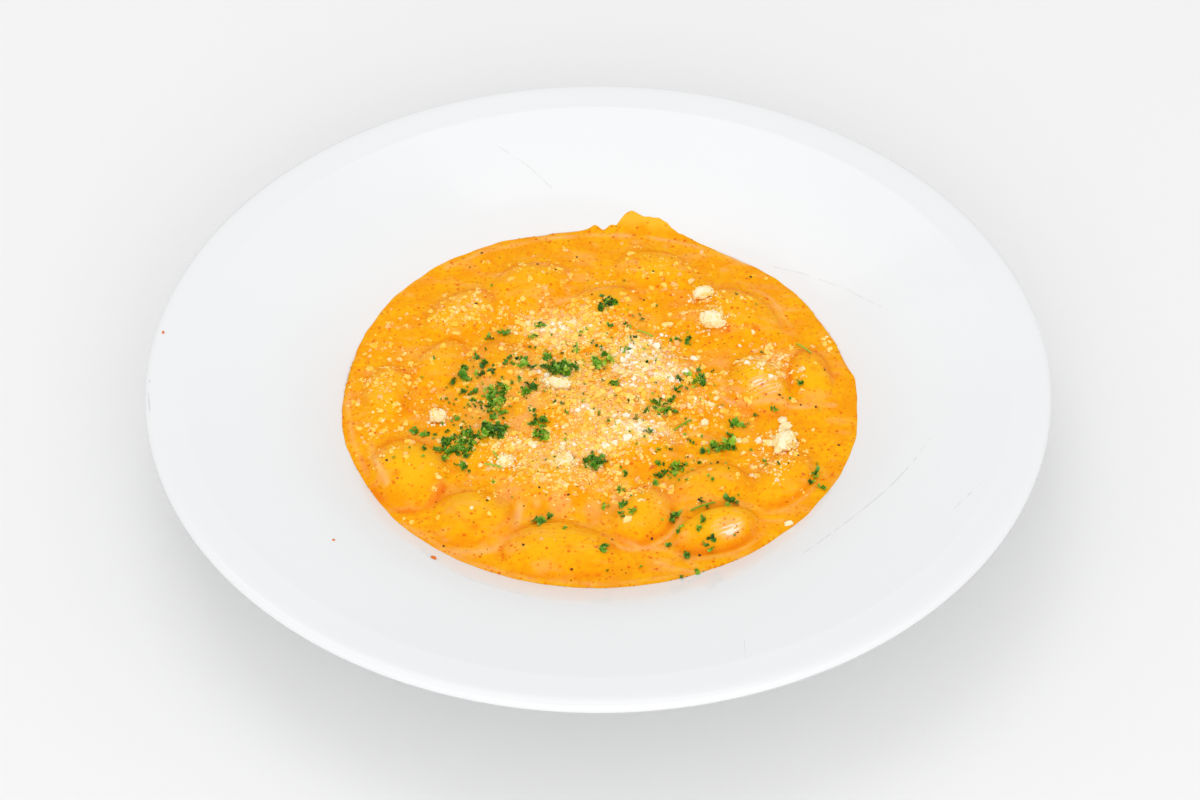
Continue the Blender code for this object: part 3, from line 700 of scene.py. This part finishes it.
def make_sauce():
    """A fine grid drawn onto the pool's outline, raised to the sauce's skin and closed underneath."""
    piece = new_shape(bpy.ops.mesh.primitive_grid_add, x_subdivisions=SAUCE_GRID, y_subdivisions=SAUCE_GRID,
                      size=2.0)
    mesh = piece.data
    a, b = mesh_points(mesh)[:, :2].T
    wide = np.abs(a) > np.abs(b)
    safe_a, safe_b = np.where(a == 0, 1e-9, a), np.where(b == 0, 1e-9, b)
    share = np.where(wide, a, b)
    angle = np.where(wide, math.pi / 4 * b / safe_a, math.pi / 2 - math.pi / 4 * a / safe_b)
    ux, uy = share * np.cos(angle), share * np.sin(angle)
    reach = pool_edge(np.arctan2(uy, ux))
    x, y = ux * reach, uy * reach
    height = sauce_height(x, y)
    mesh.vertices.foreach_set("co", (np.stack([x, y, height], axis=-1) * MM).ravel())
    bm = bmesh.new()
    bm.from_mesh(mesh)
    rim = [edge for edge in bm.edges if edge.is_boundary]
    # the underside: rings that follow the plate inwards, then one flat face
    for share in (0.985, 0.94, 0.88, 0.8, 0.7, 0.55):
        made = bmesh.ops.extrude_edge_only(bm, edges=rim)["geom"]
        rim = [item for item in made if isinstance(item, bmesh.types.BMEdge)]
        for vert in (item for item in made if isinstance(item, bmesh.types.BMVert)):
            direction = math.atan2(vert.co.y, vert.co.x)
            radius = share * float(pool_edge(direction))
            vert.co.x = radius * math.cos(direction) * MM
            vert.co.y = radius * math.sin(direction) * MM
            vert.co.z = (float(plate_height(radius)) + GAP) * MM
    bmesh.ops.contextual_create(bm, geom=rim)
    bmesh.ops.recalc_face_normals(bm, faces=bm.faces)
    bm.to_mesh(mesh)
    bm.free()
    place = mesh_points(mesh) / MM
    add_attribute(mesh, "tone", sauce_tone(*place[:, :2].T))
    bpy.ops.object.shade_smooth_by_angle(angle=math.radians(70.0))
    finish_piece(piece, "sauce_pool", sauce_material(), "sauce", "sauce")


# Gnocchi


def dough_material():
    """Boiled potato dough soaked with sauce: smooth, soft and a warm yellow."""
    material, tree, shader = new_material("potato_dough", Roughness=0.4, IOR=1.42, Subsurface_Weight=0.2,
                                          Subsurface_Scale=0.002)
    patches = ramp(tree, object_noise(tree, 4.0), 0.35, 0.65)
    feed(tree, shader, "Base Color", mix(tree, patches, "#FFB41C", "#F8C765"))
    add_bump(tree, shader, 0.3, 0.2, object_noise(tree, 0.8))
    return material


def make_gnocchi():
    """Ridged oval dumplings under the sauce's skin, each with a belly that comes close to the plate."""
    material = dough_material()
    belly = WIDEST_Z - FLOOR_Z - BED
    for piece in DUMPLINGS:
        shape = new_shape(bpy.ops.mesh.primitive_uv_sphere_add, segments=44, ring_count=24, radius=1.0)
        for vert in shape.data.vertices:
            out = min(1.0, math.hypot(vert.co.x, vert.co.y))
            turn = math.atan2(vert.co.y, vert.co.x)
            reach = out ** 0.75 if vert.co.z < 0 else out
            ridge = RIDGE_DEPTH * (0.5 + 0.5 * math.cos(RIDGES * turn)) * math.sin(math.pi * out) ** 2
            along = (piece.half_length - INSET) * reach * math.cos(turn)
            across = (piece.half_width - INSET) * reach * math.sin(turn)
            place = piece.middle + piece.along * along + piece.across * across
            if vert.co.z >= 0:
                height = WIDEST_Z + (LEVEL - WIDEST_Z + piece.rise - TOP_INSET - ridge) * vert.co.z
            else:
                floor = float(plate_height(math.hypot(*place))) + BED
                height = max(WIDEST_Z + belly * vert.co.z, floor)
            vert.co = (place[0] * MM, place[1] * MM, height * MM)
        bm = bmesh.new()
        bm.from_mesh(shape.data)
        bmesh.ops.recalc_face_normals(bm, faces=bm.faces)
        bm.to_mesh(shape.data)
        bm.free()
        bpy.ops.object.shade_smooth()
        finish_piece(shape, "dumpling_" + piece.name[-2:], material, "dough", piece.name)


# Many small pieces in one mesh


def shape_arrays(mesh_object):
    """Points and triangles of an object that is then removed."""
    bm = bmesh.new()
    bm.from_mesh(mesh_object.data)
    bmesh.ops.triangulate(bm, faces=bm.faces)
    points = np.array([v.co[:] for v in bm.verts])
    faces = np.array([[v.index for v in f.verts] for f in bm.faces])
    bm.free()
    bpy.data.objects.remove(mesh_object, do_unlink=True)
    return points, faces


def crumb_shapes(count, rng, coarse=False):
    """Rough little lumps to draw crumbs from, with 20 faces each, or 48 if coarse."""
    shapes = []
    for _ in range(count):
        if coarse:
            lump = new_shape(bpy.ops.mesh.primitive_uv_sphere_add, segments=6, ring_count=5, radius=1.0)
        else:
            lump = new_shape(bpy.ops.mesh.primitive_ico_sphere_add, subdivisions=1, radius=1.0)
        points, faces = shape_arrays(lump)
        points = points * rng.uniform(0.66, 1.26, (len(points), 1))
        # each point's depth of colour varies at random, and is deeper on the underside: painted shade
        depth = rng.uniform(0.85, 1.15, len(points)) - 0.25 * np.minimum(points[:, 2], 0)
        shapes.append((points, faces, depth))
    return shapes


def leaf_shapes(count, rng, around, rings):
    """Thin curled leaflets with a few uneven lobes, closed, with painted shade: darker towards the middle,
    lower down and underneath.
    """
    shapes = []
    for number in range(count):
        angles = np.linspace(-math.pi, math.pi, around, endpoint=False)
        outline = np.full(around, rng.uniform(0.3, 0.5))
        for middle, width, length in ((0.0, 0.5, 1.0), (1.1, 0.46, 0.85), (-1.3, 0.5, 0.8), (2.5, 0.6, 0.6)):
            middle, length = middle + rng.uniform(-0.3, 0.3), length * rng.uniform(0.55, 1.15)
            width = width * rng.uniform(0.8, 1.35)
            outline = np.maximum(outline, length * band(angles, middle, width))
        outline = outline * rng.uniform(0.8, 1.12, around)
        top = [(0.0, 0.0, 0.0)]
        for ring in range(1, rings + 1):
            share = ring / rings
            curl = share ** 2 * (0.6 * np.sin(3 * angles + number) + 0.45 * np.cos(angles + 2 * number))
            for angle, reach, lift in zip(angles, outline, curl):
                top.append((share * reach * math.cos(angle), share * reach * math.sin(angle), lift * reach))
        top = np.array(top)
        # painted shade: darker towards the middle and lower down, lighter on raised curls and tips; the
        # underside darker still
        depth = np.clip(1.55 - 0.95 * np.hypot(top[:, 0], top[:, 1]) - 0.9 * top[:, 2], 0.5, 1.7)
        faces, sides = [], []
        shift = len(top)
        last = 1 + (rings - 1) * around
        for k in range(around):
            after = (k + 1) % around
            faces.append((0, 1 + k, 1 + after))
            for inner in range(1, last, around):
                outer = inner + around
                faces += [(inner + k, outer + k, outer + after), (inner + k, outer + after, inner + after)]
            sides += [(last + k, last + k + shift, last + after + shift),
                      (last + k, last + after + shift, last + after)]
        faces = np.array(faces)
        every = np.concatenate([faces, faces[:, ::-1] + shift, np.array(sides)])
        under = top - np.array([0, 0, LEAF_THICKNESS])
        shapes.append((np.concatenate([top, under]), every, np.concatenate([depth, depth + 0.3])))
    return shapes


def turned(rng, count, lean):
    """Random turns: any heading, and a tilt of up to lean radians."""
    turns = []
    for _ in range(count):
        tilt = Matrix.Rotation(rng.uniform(-lean, lean), 3, "X")
        tilt = tilt @ Matrix.Rotation(rng.uniform(-lean, lean), 3, "Y")
        turns.append(np.array(tilt @ Matrix.Rotation(rng.uniform(0, 2 * math.pi), 3, "Z")))
    return np.array(turns)


def piece_from_arrays(name, points, faces, tints, material, slot, *nodes):
    """A piece made of points (mm), faces, and a tint for each point."""
    mesh = bpy.data.meshes.new(name)
    mesh.from_pydata(points * MM, [], faces)
    mesh.update()
    add_attribute(mesh, "tint", np.clip(tints, 0, 1))
    piece = bpy.data.objects.new(name, mesh)
    bpy.context.scene.collection.objects.link(piece)
    return finish_piece(piece, name, material, slot, *nodes)


def join_small(name, shapes, places, sizes, turns, colours, material, slot, *nodes):
    """One mesh of many small pieces, each a shape at its place (mm), size, turn and colour.

    Where a shape's depth is over 1 its colour is darker and richer, below 1 lighter; crumbs and leaflets use
    it for painted shade.
    """
    points, faces, tints, base = [], [], [], 0
    for index in range(len(places)):
        shape_points, shape_faces, depth = shapes[index % len(shapes)]
        points.append((shape_points * sizes[index]) @ turns[index].T + places[index])
        faces.append(shape_faces + base)
        tints.append(np.clip(colours[index], 0, 1) ** depth[:, None])
        base += len(shape_points)
    piece_from_arrays(name, np.concatenate(points), np.concatenate(faces), np.concatenate(tints), material,
                      slot, *nodes)


# Cheese


def cheese_material():
    """Grated hard cheese: dry crumbly grains, cream white, yellow where sauce has soaked in."""
    return tinted_material("grated_hard_cheese", "#FFD060", (0.6, 2.0), (0.35, 0.75, 0.0, 0.2),
                           Roughness=0.5, IOR=1.4, Specular_IOR_Level=0.2)


def linear(text):
    """sRGB hex to an array of three linear values."""
    return np.array(hex_colour(text)[:3])


def blend(share, *colours):
    """Colours along a row of colours, for a column of shares from 0 to 1."""
    place = np.clip(share, 0, 1) * (len(colours) - 1)
    left = np.clip(np.floor(place).astype(int), 0, len(colours) - 2)
    table = np.array(colours)
    part = (place - left)[:, None]
    return table[left] * (1 - part) + table[left + 1] * part


CHEESE = [linear(text) for text in ("#FFB61C", "#FFCA38", "#FFDC6A", "#FFEBAC", "#FFF9E6")]


def scatter_cheese(rng, count, clumping):
    """Places and paleness of crumbs: patch by patch, in clumps of one to several."""
    places, pale = [], []
    for x, y, spread_x, spread_y, share, whiteness in CHEESE_PATCHES:
        wanted = int(count * share)
        heads = rng.normal((x, y), (spread_x, spread_y), (wanted, 2))
        sizes = rng.geometric(clumping, wanted)
        owner = np.repeat(np.arange(wanted), sizes)[:wanted]
        places.append(heads[owner] + rng.normal(0, 0.42, (wanted, 2)))
        pale.append((whiteness * rng.uniform(0.45, 1.3, wanted))[owner] + rng.normal(0, 0.08, wanted))
    places, pale = np.concatenate(places), np.concatenate(pale)
    kept = np.hypot(*places.T) < POOL_RADIUS - 2.0
    order = rng.permutation(np.flatnonzero(kept))
    return places[order], pale[order]


def lay_crumbs(rng, name, shapes, places, radius, pale, rosy_share, material):
    """One kind of crumb on the sauce's skin, piled up where the cheese lies thick."""
    count = len(places)
    crowd = heap_at(*places.T)
    lift = radius * rng.uniform(-0.35, 0.2, count) + crowd * rng.uniform(0, 0.7, count) ** 2
    length, depth = radius * rng.uniform(0.8, 1.4, count), radius * rng.uniform(0.5, 0.8, count)
    rosy = (rng.random(count) < rosy_share)[:, None] * ROSY_DEPTH
    colours = blend(pale + 0.2 * lift, *CHEESE) * (1 - rosy) + linear("#FFB884") * rosy
    join_small(name, shapes, raised(places, lift), np.column_stack([length, radius, depth]),
               turned(rng, count, 0.45), colours, material, "cheese")


def make_crumbs(material):
    """Crumbs on the sauce's skin: the largest in their own places, the others in clumps, down to dust."""
    rng = np.random.default_rng(SEED)
    coarse, fine = crumb_shapes(16, rng, True), crumb_shapes(14, rng)
    known = np.array(CRUMB_PLACES)
    lay_crumbs(rng, "cheese_nuggets", coarse, on_skin(known[:, :2], HEAP_LEVEL), known[:, 2], known[:, 3],
               0.0, material)
    # name, shapes, how many, share that start a new clump, usual radius and its spread
    kinds = (("cheese_crumbs", coarse, 3800, 0.28, 0.62, 0.33), ("cheese_grit", fine, 9200, 0.3, 0.36, 0.3),
             ("cheese_dust", [GRAIN], 11000, 0.6, 0.17, 0.25))
    for name, shapes, wanted, clumping, usual, spread in kinds:
        places, pale = scatter_cheese(rng, wanted, clumping)
        radius = np.clip(rng.lognormal(math.log(usual), spread, len(places)), 0.1, 1.15)
        lay_crumbs(rng, name, shapes, places, radius, pale, ROSY_SHARE, material)


def make_lumps(material):
    """Each packed lump becomes a rough clump of cheese with smaller grains stuck on and round it."""
    rng = np.random.default_rng(SEED + 1)
    shapes = crumb_shapes(10, rng)
    for number, name in enumerate(packed("cheese_lump_")):
        low, high, form = packed_form(name)
        middle, half = (low + high) / 2, (high - low) / 2
        ball = new_shape(bpy.ops.mesh.primitive_ico_sphere_add, subdivisions=5, radius=1.0)
        points, faces = shape_arrays(ball)
        body, bumps = [], []
        for point in points:
            hit = form.ray_cast(Vector(middle * MM), Vector(point))[0]
            reach = (hit - Vector(middle * MM)).length / MM if hit else float(half.min())
            place = Vector(point * reach) + Vector((number * 9.0, 0, 0))
            bump = (0.94 + 0.2 * noise.noise(place * 0.5) - 0.22 * noise.voronoi(place * 0.8)[0][0]
                    - 0.09 * noise.voronoi(place * 2.1)[0][0])
            bumps.append(bump)
            body.append(point * reach * min(bump + 0.14, 1.04))
        body, bumps = np.array(body), np.array(bumps)
        # painted light and shade: paler towards the top and on the bumps, deeper yellow in the hollows
        pale = np.clip(body[:, 2] / half[2] * 0.35 + (bumps - bumps.mean()) * 2.2 + 0.62, 0, 1)
        tints = blend(pale, *(linear(hue) for hue in ("#FFD66A", "#FFE8A8", "#FFF4D2")))
        lump = piece_from_arrays(name + "_grated", middle + body, faces, tints, material, "cheese", name)
        lump.data.shade_smooth()
        way = rng.normal(0, 1, (LUMP_GRAINS, 3))
        way = way / np.linalg.norm(way, axis=1, keepdims=True)
        way[:, 2] = np.abs(way[:, 2]) * 0.9
        spots = middle + way * half * rng.uniform(0.8, 1.0, (LUMP_GRAINS, 1))
        radius = rng.uniform(0.25, 0.6, LUMP_GRAINS)
        spots[:, 2] = np.minimum(spots[:, 2], high[2] - radius)
        loose = rng.random(LUMP_GRAINS) < 0.45
        away = half[:2] + rng.uniform(0.2, 1.8, (loose.sum(), 1))
        spots[loose] = raised(middle[:2] + way[loose, :2] * away, 0.1)
        join_small(name + "_grains", shapes, spots, radius, turned(rng, LUMP_GRAINS, 1.2),
                   blend(rng.uniform(0.3, 1.0, LUMP_GRAINS), *CHEESE[1:]), material, "cheese")


# Parsley


def parsley_material():
    """Fresh chopped parsley: a thin leaf, deep green, lighter towards the leaflets' edges by painted light,
    with a soft shine.
    """
    return tinted_material("parsley_leaf", "#8CC03C", (0.9, 3.0), (0.4, 0.75, 0.0, 0.4),
                           Roughness=0.45, IOR=1.4, Specular_IOR_Level=0.3)


LEAVES = [linear(text) for text in ("#28540A", "#4A8416", "#78AC24", "#B0D040")]
# for some sprigs: how much brighter they are, and how many leaflets lie on each square millimetre
SPRIG_LOOKS = {
    "01": (0.0, 0.52), "02": (-0.1, 0.55), "03": (0.3, 0.28), "04": (0.05, 0.38), "05": (0.25, 0.28),
    "07": (0.1, 0.26), "08": (-0.1, 0.3), "09": (-0.1, 0.36), "11": (0.1, 0.3), "12": (0.1, 0.28)}
USUAL_SPRIG = (0.0, 0.3)
# a leaflet's thickness, as a share of its size
LEAF_THICKNESS = 0.08
STALK_RADIUS = 0.27
STALK_BOW = 0.4


def stalk_points(start, end):
    """A thin bowed six-sided stalk between two places, closed at both ends."""
    along = (end - start) / np.linalg.norm(end - start)
    side = np.cross(along, (0, 0, 1.0))
    side = side / np.linalg.norm(side)
    up = np.cross(side, along)
    points, faces, steps, around = [], [], 5, 6
    for step in range(steps):
        share = step / (steps - 1)
        middle = start + (end - start) * share + np.array([0, 0, STALK_BOW]) * 4 * share * (1 - share)
        for turn in np.linspace(0, 2 * math.pi, around, endpoint=False):
            points.append(middle + STALK_RADIUS * (side * math.cos(turn) + up * math.sin(turn)))
    for step in range(steps - 1):
        for k in range(around):
            a, b = step * around + k, step * around + (k + 1) % around
            faces += [(a, a + around, b + around), (a, b + around, b)]
    last = (steps - 1) * around
    for k in range(1, around - 1):
        faces += [(0, k, k + 1), (last, last + k + 1, last + k)]
    return np.array(points), np.array(faces), np.ones(len(points))


def make_sprigs(material):
    """Each packed sprig becomes a tuft of curled leaflets over the same footprint."""
    rng = np.random.default_rng(SEED + 2)
    shapes = leaf_shapes(10, rng, 22, 2)
    for name in packed("parsley_"):
        low, high, form = packed_form(name)
        brighter, fullness = SPRIG_LOOKS.get(name[-2:], USUAL_SPRIG)
        count = int(6 + (high[0] - low[0]) * (high[1] - low[1]) * fullness)
        spots = []
        while len(spots) < count:
            x, y = rng.uniform(low[0], high[0]), rng.uniform(low[1], high[1])
            hit = form.ray_cast(Vector((x * MM, y * MM, 0.1)), Vector((0, 0, -1)))[0]
            if hit is not None:
                spots.append((x, y, hit.z / MM + rng.uniform(-0.9, 0.2)))
        size = rng.uniform(1.3, 2.6, count)
        join_small(name + "_chopped", shapes, np.array(spots), size, turned(rng, count, 0.85),
                   blend(rng.uniform(0, 1, count) + brighter, *LEAVES), material, "parsley", name)


# loose bits of chopped leaf: place and size of the largest
LEAF_PLACES = [
    (-44.9, 12.9, 3), (-40.2, 18.3, 2), (-36.9, 16.3, 2.2), (-29.2, 16.3, 2), (-24.6, 16.3, 2.8),
    (-31.9, 30.7, 2.1), (-36.1, 28.6, 1.6), (-19.1, 33.4, 2.4), (-22.5, 29.3, 1.9), (-20.6, 24.1, 1.3),
    (-37.9, 11.2, 1.9), (-34.7, 12.2, 1.5), (-48.4, 7.8, 1.6), (-43.3, 7.5, 1.2), (-43.6, 2.9, 1.6),
    (-40.4, 3.2, 1.8), (-49.2, -1.1, 1.2), (-41.1, -3.1, 1.7), (-35.6, -4.4, 1.5), (-31.4, -7, 1.5),
    (-34.5, -10.3, 1.9), (-46.3, -10.9, 1.7), (-58.7, -16.7, 2.2), (-55.2, -24.1, 1.7),
    (-43.3, -32.6, 2.3), (-25.4, 8.9, 1.3), (-21.6, 2.9, 2.8), (-25.7, 1.5, 1.2), (-28.5, 6.2, 1.1),
    (-21.4, -6.4, 1.9), (-17.5, -14.2, 2.6), (-15.8, 18.3, 1.8), (-7, 22.7, 1.6), (0.9, 22.4, 1.4),
    (-1.9, 26.5, 1.1), (3.7, 33.4, 1.8), (4.5, 5.5, 2.3), (-4.8, -2.1, 1.4), (-4.2, 5.5, 1),
    (-11.9, -2.8, 1), (-10.7, -7.7, 1), (2.9, -11.6, 1), (-5.7, 30.7, 1.4), (35.3, -66.1, 1.7),
    (28.1, -70.3, 1.5), (31.9, -55.4, 1.9), (25.6, -58.8, 1.8), (21.1, -66.5, 1.3), (2, -66.1, 1.6),
    (2.6, -49.4, 1.8), (6.7, -43.2, 1.6), (32.7, -49.8, 1.4), (17.5, -39.7, 1.5), (20.1, -36.2, 1.7),
    (8.7, -34.9, 1.5), (42.5, -18.2, 1.4), (28.2, -14, 1.1), (34, -25.4, 1.8), (57.5, -8, 1.5),
    (50.5, -8.5, 0.9), (68.8, -35.7, 1.9), (67.4, -39.3, 1.6), (70.7, -41, 1.5), (30.1, -77.8, 1.2),
    (25.7, -79.8, 1.2), (11.8, 26.9, 1.9), (9.9, 34.8, 1.5), (9.5, 22.5, 1.4), (14.9, 38.8, 1.3),
    (0.1, -8, 1), (5.6, -13.1, 1.1), (16.5, -15.9, 1.9), (29.9, -20.4, 1.6), (18.6, -30.4, 1.5),
    (-17.8, -56.3, 2.4), (-16, -54, 1.7), (40, -47.2, 2.7), (8.3, -48.9, 2.4), (10.3, -51.9, 1.9),
    (7.3, -53, 1.8), (22.6, -55, 2.3), (45, -12.2, 2.6), (29.8, 27.8, 1.9), (26.8, 27.5, 1.4),
    (65.9, 5.6, 1.7), (30.6, -58.4, 1.7), (34.3, -68.6, 1.5), (-10.3, -58.4, 1), (1.8, -68.2, 1.6),
    (25.5, 2, 1.5), (27, 8, 1.6), (13, -11.3, 1.6), (16.5, -7, 1.8)]
# middle x and y, spread, and how many small scraps lie there
SCRAP_PATCHES = [
    (-36, 2, 8, 60), (-40, -16, 9, 50), (-14, 12, 11, 54), (10, 22, 12, 26), (24, -4, 12, 22),
    (8, -30, 15, 26), (34, -34, 11, 24), (14, -55, 24, 16), (0, 34, 24, 14), (62, -20, 12, 8)]
# the two ends of each loose stalk, as seen on the sauce's level
STALKS = [
    ((65.9, 25.2), (70.2, 20.7)), ((-36.1, -31), (-30.4, -32.8)), ((-33.4, -25.2), (-31.4, -29.7)),
    ((9.4, 24.2), (8.2, 20)), ((12.9, 31.8), (18.1, 28.9)), ((24.4, -15.8), (30, -11)),
    ((28.9, -51.5), (36.6, -48.1)), ((-7.2, 25.9), (-6.9, 20.8))]


def make_leaf_bits(material):
    """Loose bits of chopped leaf, the larger ones of several curled parts, and a few bare stalks."""
    rng = np.random.default_rng(SEED + 3)
    known = np.array(LEAF_PLACES)[:, 2]
    large = on_skin(np.array(LEAF_PLACES)[:, :2], LEVEL)
    parts = np.clip(np.round(known * 1.7), 1, 5).astype(int)
    owner = np.repeat(np.arange(len(known)), parts)
    large = large[owner] + rng.normal(0, 0.42, (len(owner), 2)) * known[owner][:, None]
    known = known[owner] * np.where(parts[owner] > 1, rng.uniform(0.4, 0.8, len(owner)), 0.9)
    scraps = np.concatenate([rng.normal((x, y), spread, (count, 2)) for x, y, spread, count in SCRAP_PATCHES])
    scraps = scraps[np.hypot(*scraps.T) < POOL_RADIUS - 3.0]
    small = rng.uniform(0.35, 0.85, len(scraps))
    # name, places, sizes, and the points round a leaflet and its rings
    kinds = (("parsley_leaflets", large, known, 16, 2), ("parsley_scraps", scraps, small, 9, 1))
    for name, spots, size, around, rings in kinds:
        count = len(spots)
        sizes = 1.75 * np.column_stack([size, size * rng.uniform(0.5, 0.95, count), 0.75 * size])
        join_small(name, leaf_shapes(10, rng, around, rings), raised(spots, 0.25 * size + 0.3), sizes,
                   turned(rng, count, 0.65), blend(rng.uniform(0, 0.95, count), *LEAVES), material, "parsley")
    shapes = [stalk_points(*raised(on_skin(np.array(ends), LEVEL), 0.35)) for ends in STALKS]
    count = len(shapes)
    join_small("parsley_stalks", shapes, np.zeros((count, 3)), np.ones(count), [np.eye(3)] * count,
               blend(rng.uniform(0.5, 0.9, count), *LEAVES), material, "parsley")


# Pepper, chilli and stray crumbs


def speck_material(name, roughness):
    """Dry or soaked scraps: rough, in the colour of each."""
    return tinted_material(name, "#9A5A24", (0.3, 2.0), (0.3, 0.7, 0.0, 0.3),
                           Roughness=roughness, IOR=1.45, Specular_IOR_Level=0.3)


# places of the largest specks of pepper and red flakes, as seen on the sauce's level
PEPPER_PLACES = [
    (-44.1, 64.3), (-14.6, 62.7), (-40.2, 71.6), (-2.2, 49.9), (-41.1, 45.3), (-7.4, 69.5), (18.6, 61.7),
    (15.4, 47.3), (28, 36.3), (52, 59.1), (65.8, -3.8), (74.2, 12.8), (58.8, 0.9), (59.8, -0.5),
    (70.6, -4.8), (46.1, 17.6), (-67, -29), (-34.7, -46.7), (-23, -65.6), (-8.1, -76.1), (-18.5, -41),
    (-9.3, -44.1), (-47.7, -66.5), (31.5, -46.3), (16.5, -63.5), (31.2, -70.3), (43.1, -63.5),
    (63.6, -26.8), (77, -22.3)]
RED_PLACES = [
    (-41.4, 34.8), (-64.1, 12.8), (-63.2, -3.8), (-3.6, 39.8), (13.2, 66.4), (36.3, 44.3), (43.6, 31.8),
    (53.3, 32.3), (69.2, 16.6), (-63.1, -36.6), (-37.7, -61), (-16.5, 78), (22.2, 54.5), (36.7, 37.8),
    (34.8, 41.8), (46, 24.4), (1.1, -61.4), (4.1, -69.4), (-55, -55.8), (14, -13.6), (-11.8, -13.6),
    (1.1, -15.9)]


def make_specks():
    """Ground pepper, and soft red flakes half sunk in the sauce: the largest in place, the rest loose."""
    rng = np.random.default_rng(SEED + 4)
    shapes = crumb_shapes(8, rng)
    # name, finish, known places, how many more, radius of the known ones and of the rest, rise, hues
    kinds = (("pepper_specks", speck_material("ground_pepper", 0.6), PEPPER_PLACES, 110, 0.55, 0.17, 0.1,
              ("#1E1008", "#4E2C10")),
             ("red_flakes", speck_material("chilli_flakes", 0.4), RED_PLACES, 420, 0.75, 0.3, -0.3,
              ("#E4581A", "#F07C1C")))
    for name, material, known, more, large, small, rise, hues in kinds:
        reach = (POOL_RADIUS - 1.5) * np.sqrt(rng.uniform(0, 1, more))
        angle = rng.uniform(0, 2 * math.pi, more)
        spots = np.column_stack([reach * np.cos(angle), reach * np.sin(angle)])
        spots = np.concatenate([on_skin(np.array(known), LEVEL), spots])
        radius = np.concatenate([np.full(len(known), large), rng.lognormal(math.log(small), 0.45, more)])
        radius = radius * rng.uniform(0.75, 1.25, len(radius))
        count = len(radius)
        sizes = np.column_stack([radius, radius * rng.uniform(0.5, 0.9, count), radius * 0.5])
        join_small(name, shapes, raised(spots, rise * radius), sizes, turned(rng, count, 0.3),
                   blend(rng.uniform(0, 1, count), *(linear(hue) for hue in hues)), material, "sauce")


# place and size of the dried drops of sauce on the rim
RIM_CRUMBS = [(-50.3, -74.4, 1.2), (-80.5, -73.8, 0.6), (-141.5, 12.7, 0.7)]


def make_rim_crumbs(material):
    """Dried bits of sauce that fell on the rim."""
    rng = np.random.default_rng(SEED + 5)
    shapes = crumb_shapes(3, rng)
    x, y, size = np.array(RIM_CRUMBS).T
    places = np.column_stack([x, y, plate_height(np.hypot(x, y)) + size * 0.2])
    sizes = np.column_stack([size, size * 0.7, size * 0.4])
    colours = [linear("#EC7828")] * len(size)
    join_small("rim_crumbs", shapes, places, sizes, turned(rng, len(size), 0.1), colours, material, "sauce")


# Floor, light and camera


def make_stage():
    """A wide pale table under the plate."""
    floor = new_shape(bpy.ops.mesh.primitive_plane_add, size=6.0)
    floor.name = "floor"
    material, tree, shader = new_material("pale_table", Roughness=0.9)
    feed(tree, shader, "Base Color", "#EFEFEF")
    floor.data.materials.append(material)


def add_area_light(name, place, aim, size, power):
    """A rectangular lamp at a place, facing another, in metres and watts."""
    data = bpy.data.lights.new(name, "AREA")
    data.shape = "RECTANGLE"
    data.size, data.size_y = size
    data.energy = power
    lamp = bpy.data.objects.new(name, data)
    lamp.location = place
    lamp.rotation_euler = (Vector(aim) - Vector(place)).to_track_quat("-Z", "Y").to_euler()
    bpy.context.scene.collection.objects.link(lamp)


def make_light():
    """A wide soft light overhead, a little behind and left, and a fill from the front, in a bright room."""
    world = bpy.data.worlds.new("bright_room")
    bpy.context.scene.world = world
    world.use_nodes = True
    back = world.node_tree.nodes["Background"]
    back.inputs["Color"].default_value = (1.0, 1.0, 1.0, 1.0)
    back.inputs["Strength"].default_value = 0.85
    add_area_light("overhead", (-0.2, 0.42, 1.25), (0, 0, 0), (0.8, 0.8), 2.0)
    add_area_light("front_fill", (0.1, -1.5, 0.75), (0, -0.1, 0), (1.6, 0.9), 9.2)


def make_camera():
    """The fitted camera: it looks at a point over the plate's middle."""
    data = bpy.data.cameras.new("camera")
    data.lens = CAMERA_LENS
    data.sensor_width = 36.0
    data.clip_start = 0.05
    camera = bpy.data.objects.new("camera", data)
    camera.location = (AIM_SHIFT, -CAMERA_DISTANCE * math.cos(CAMERA_ELEVATION),
                       AIM_HEIGHT + CAMERA_DISTANCE * math.sin(CAMERA_ELEVATION))
    camera.rotation_euler = (math.pi / 2 - CAMERA_ELEVATION, 0.0, 0.0)
    bpy.context.scene.collection.objects.link(camera)
    bpy.context.scene.camera = camera


def main():
    """Camera, light and table first, then the dish from the plate up."""
    make_camera()
    make_light()
    make_stage()
    make_plate()
    make_sauce()
    make_gnocchi()
    cheese = cheese_material()
    make_crumbs(cheese)
    make_lumps(cheese)
    parsley = parsley_material()
    make_sprigs(parsley)
    make_leaf_bits(parsley)
    make_specks()
    make_rim_crumbs(speck_material("dried_sauce", 0.6))
    bpy.context.scene.view_settings.view_transform = "Standard"


main()
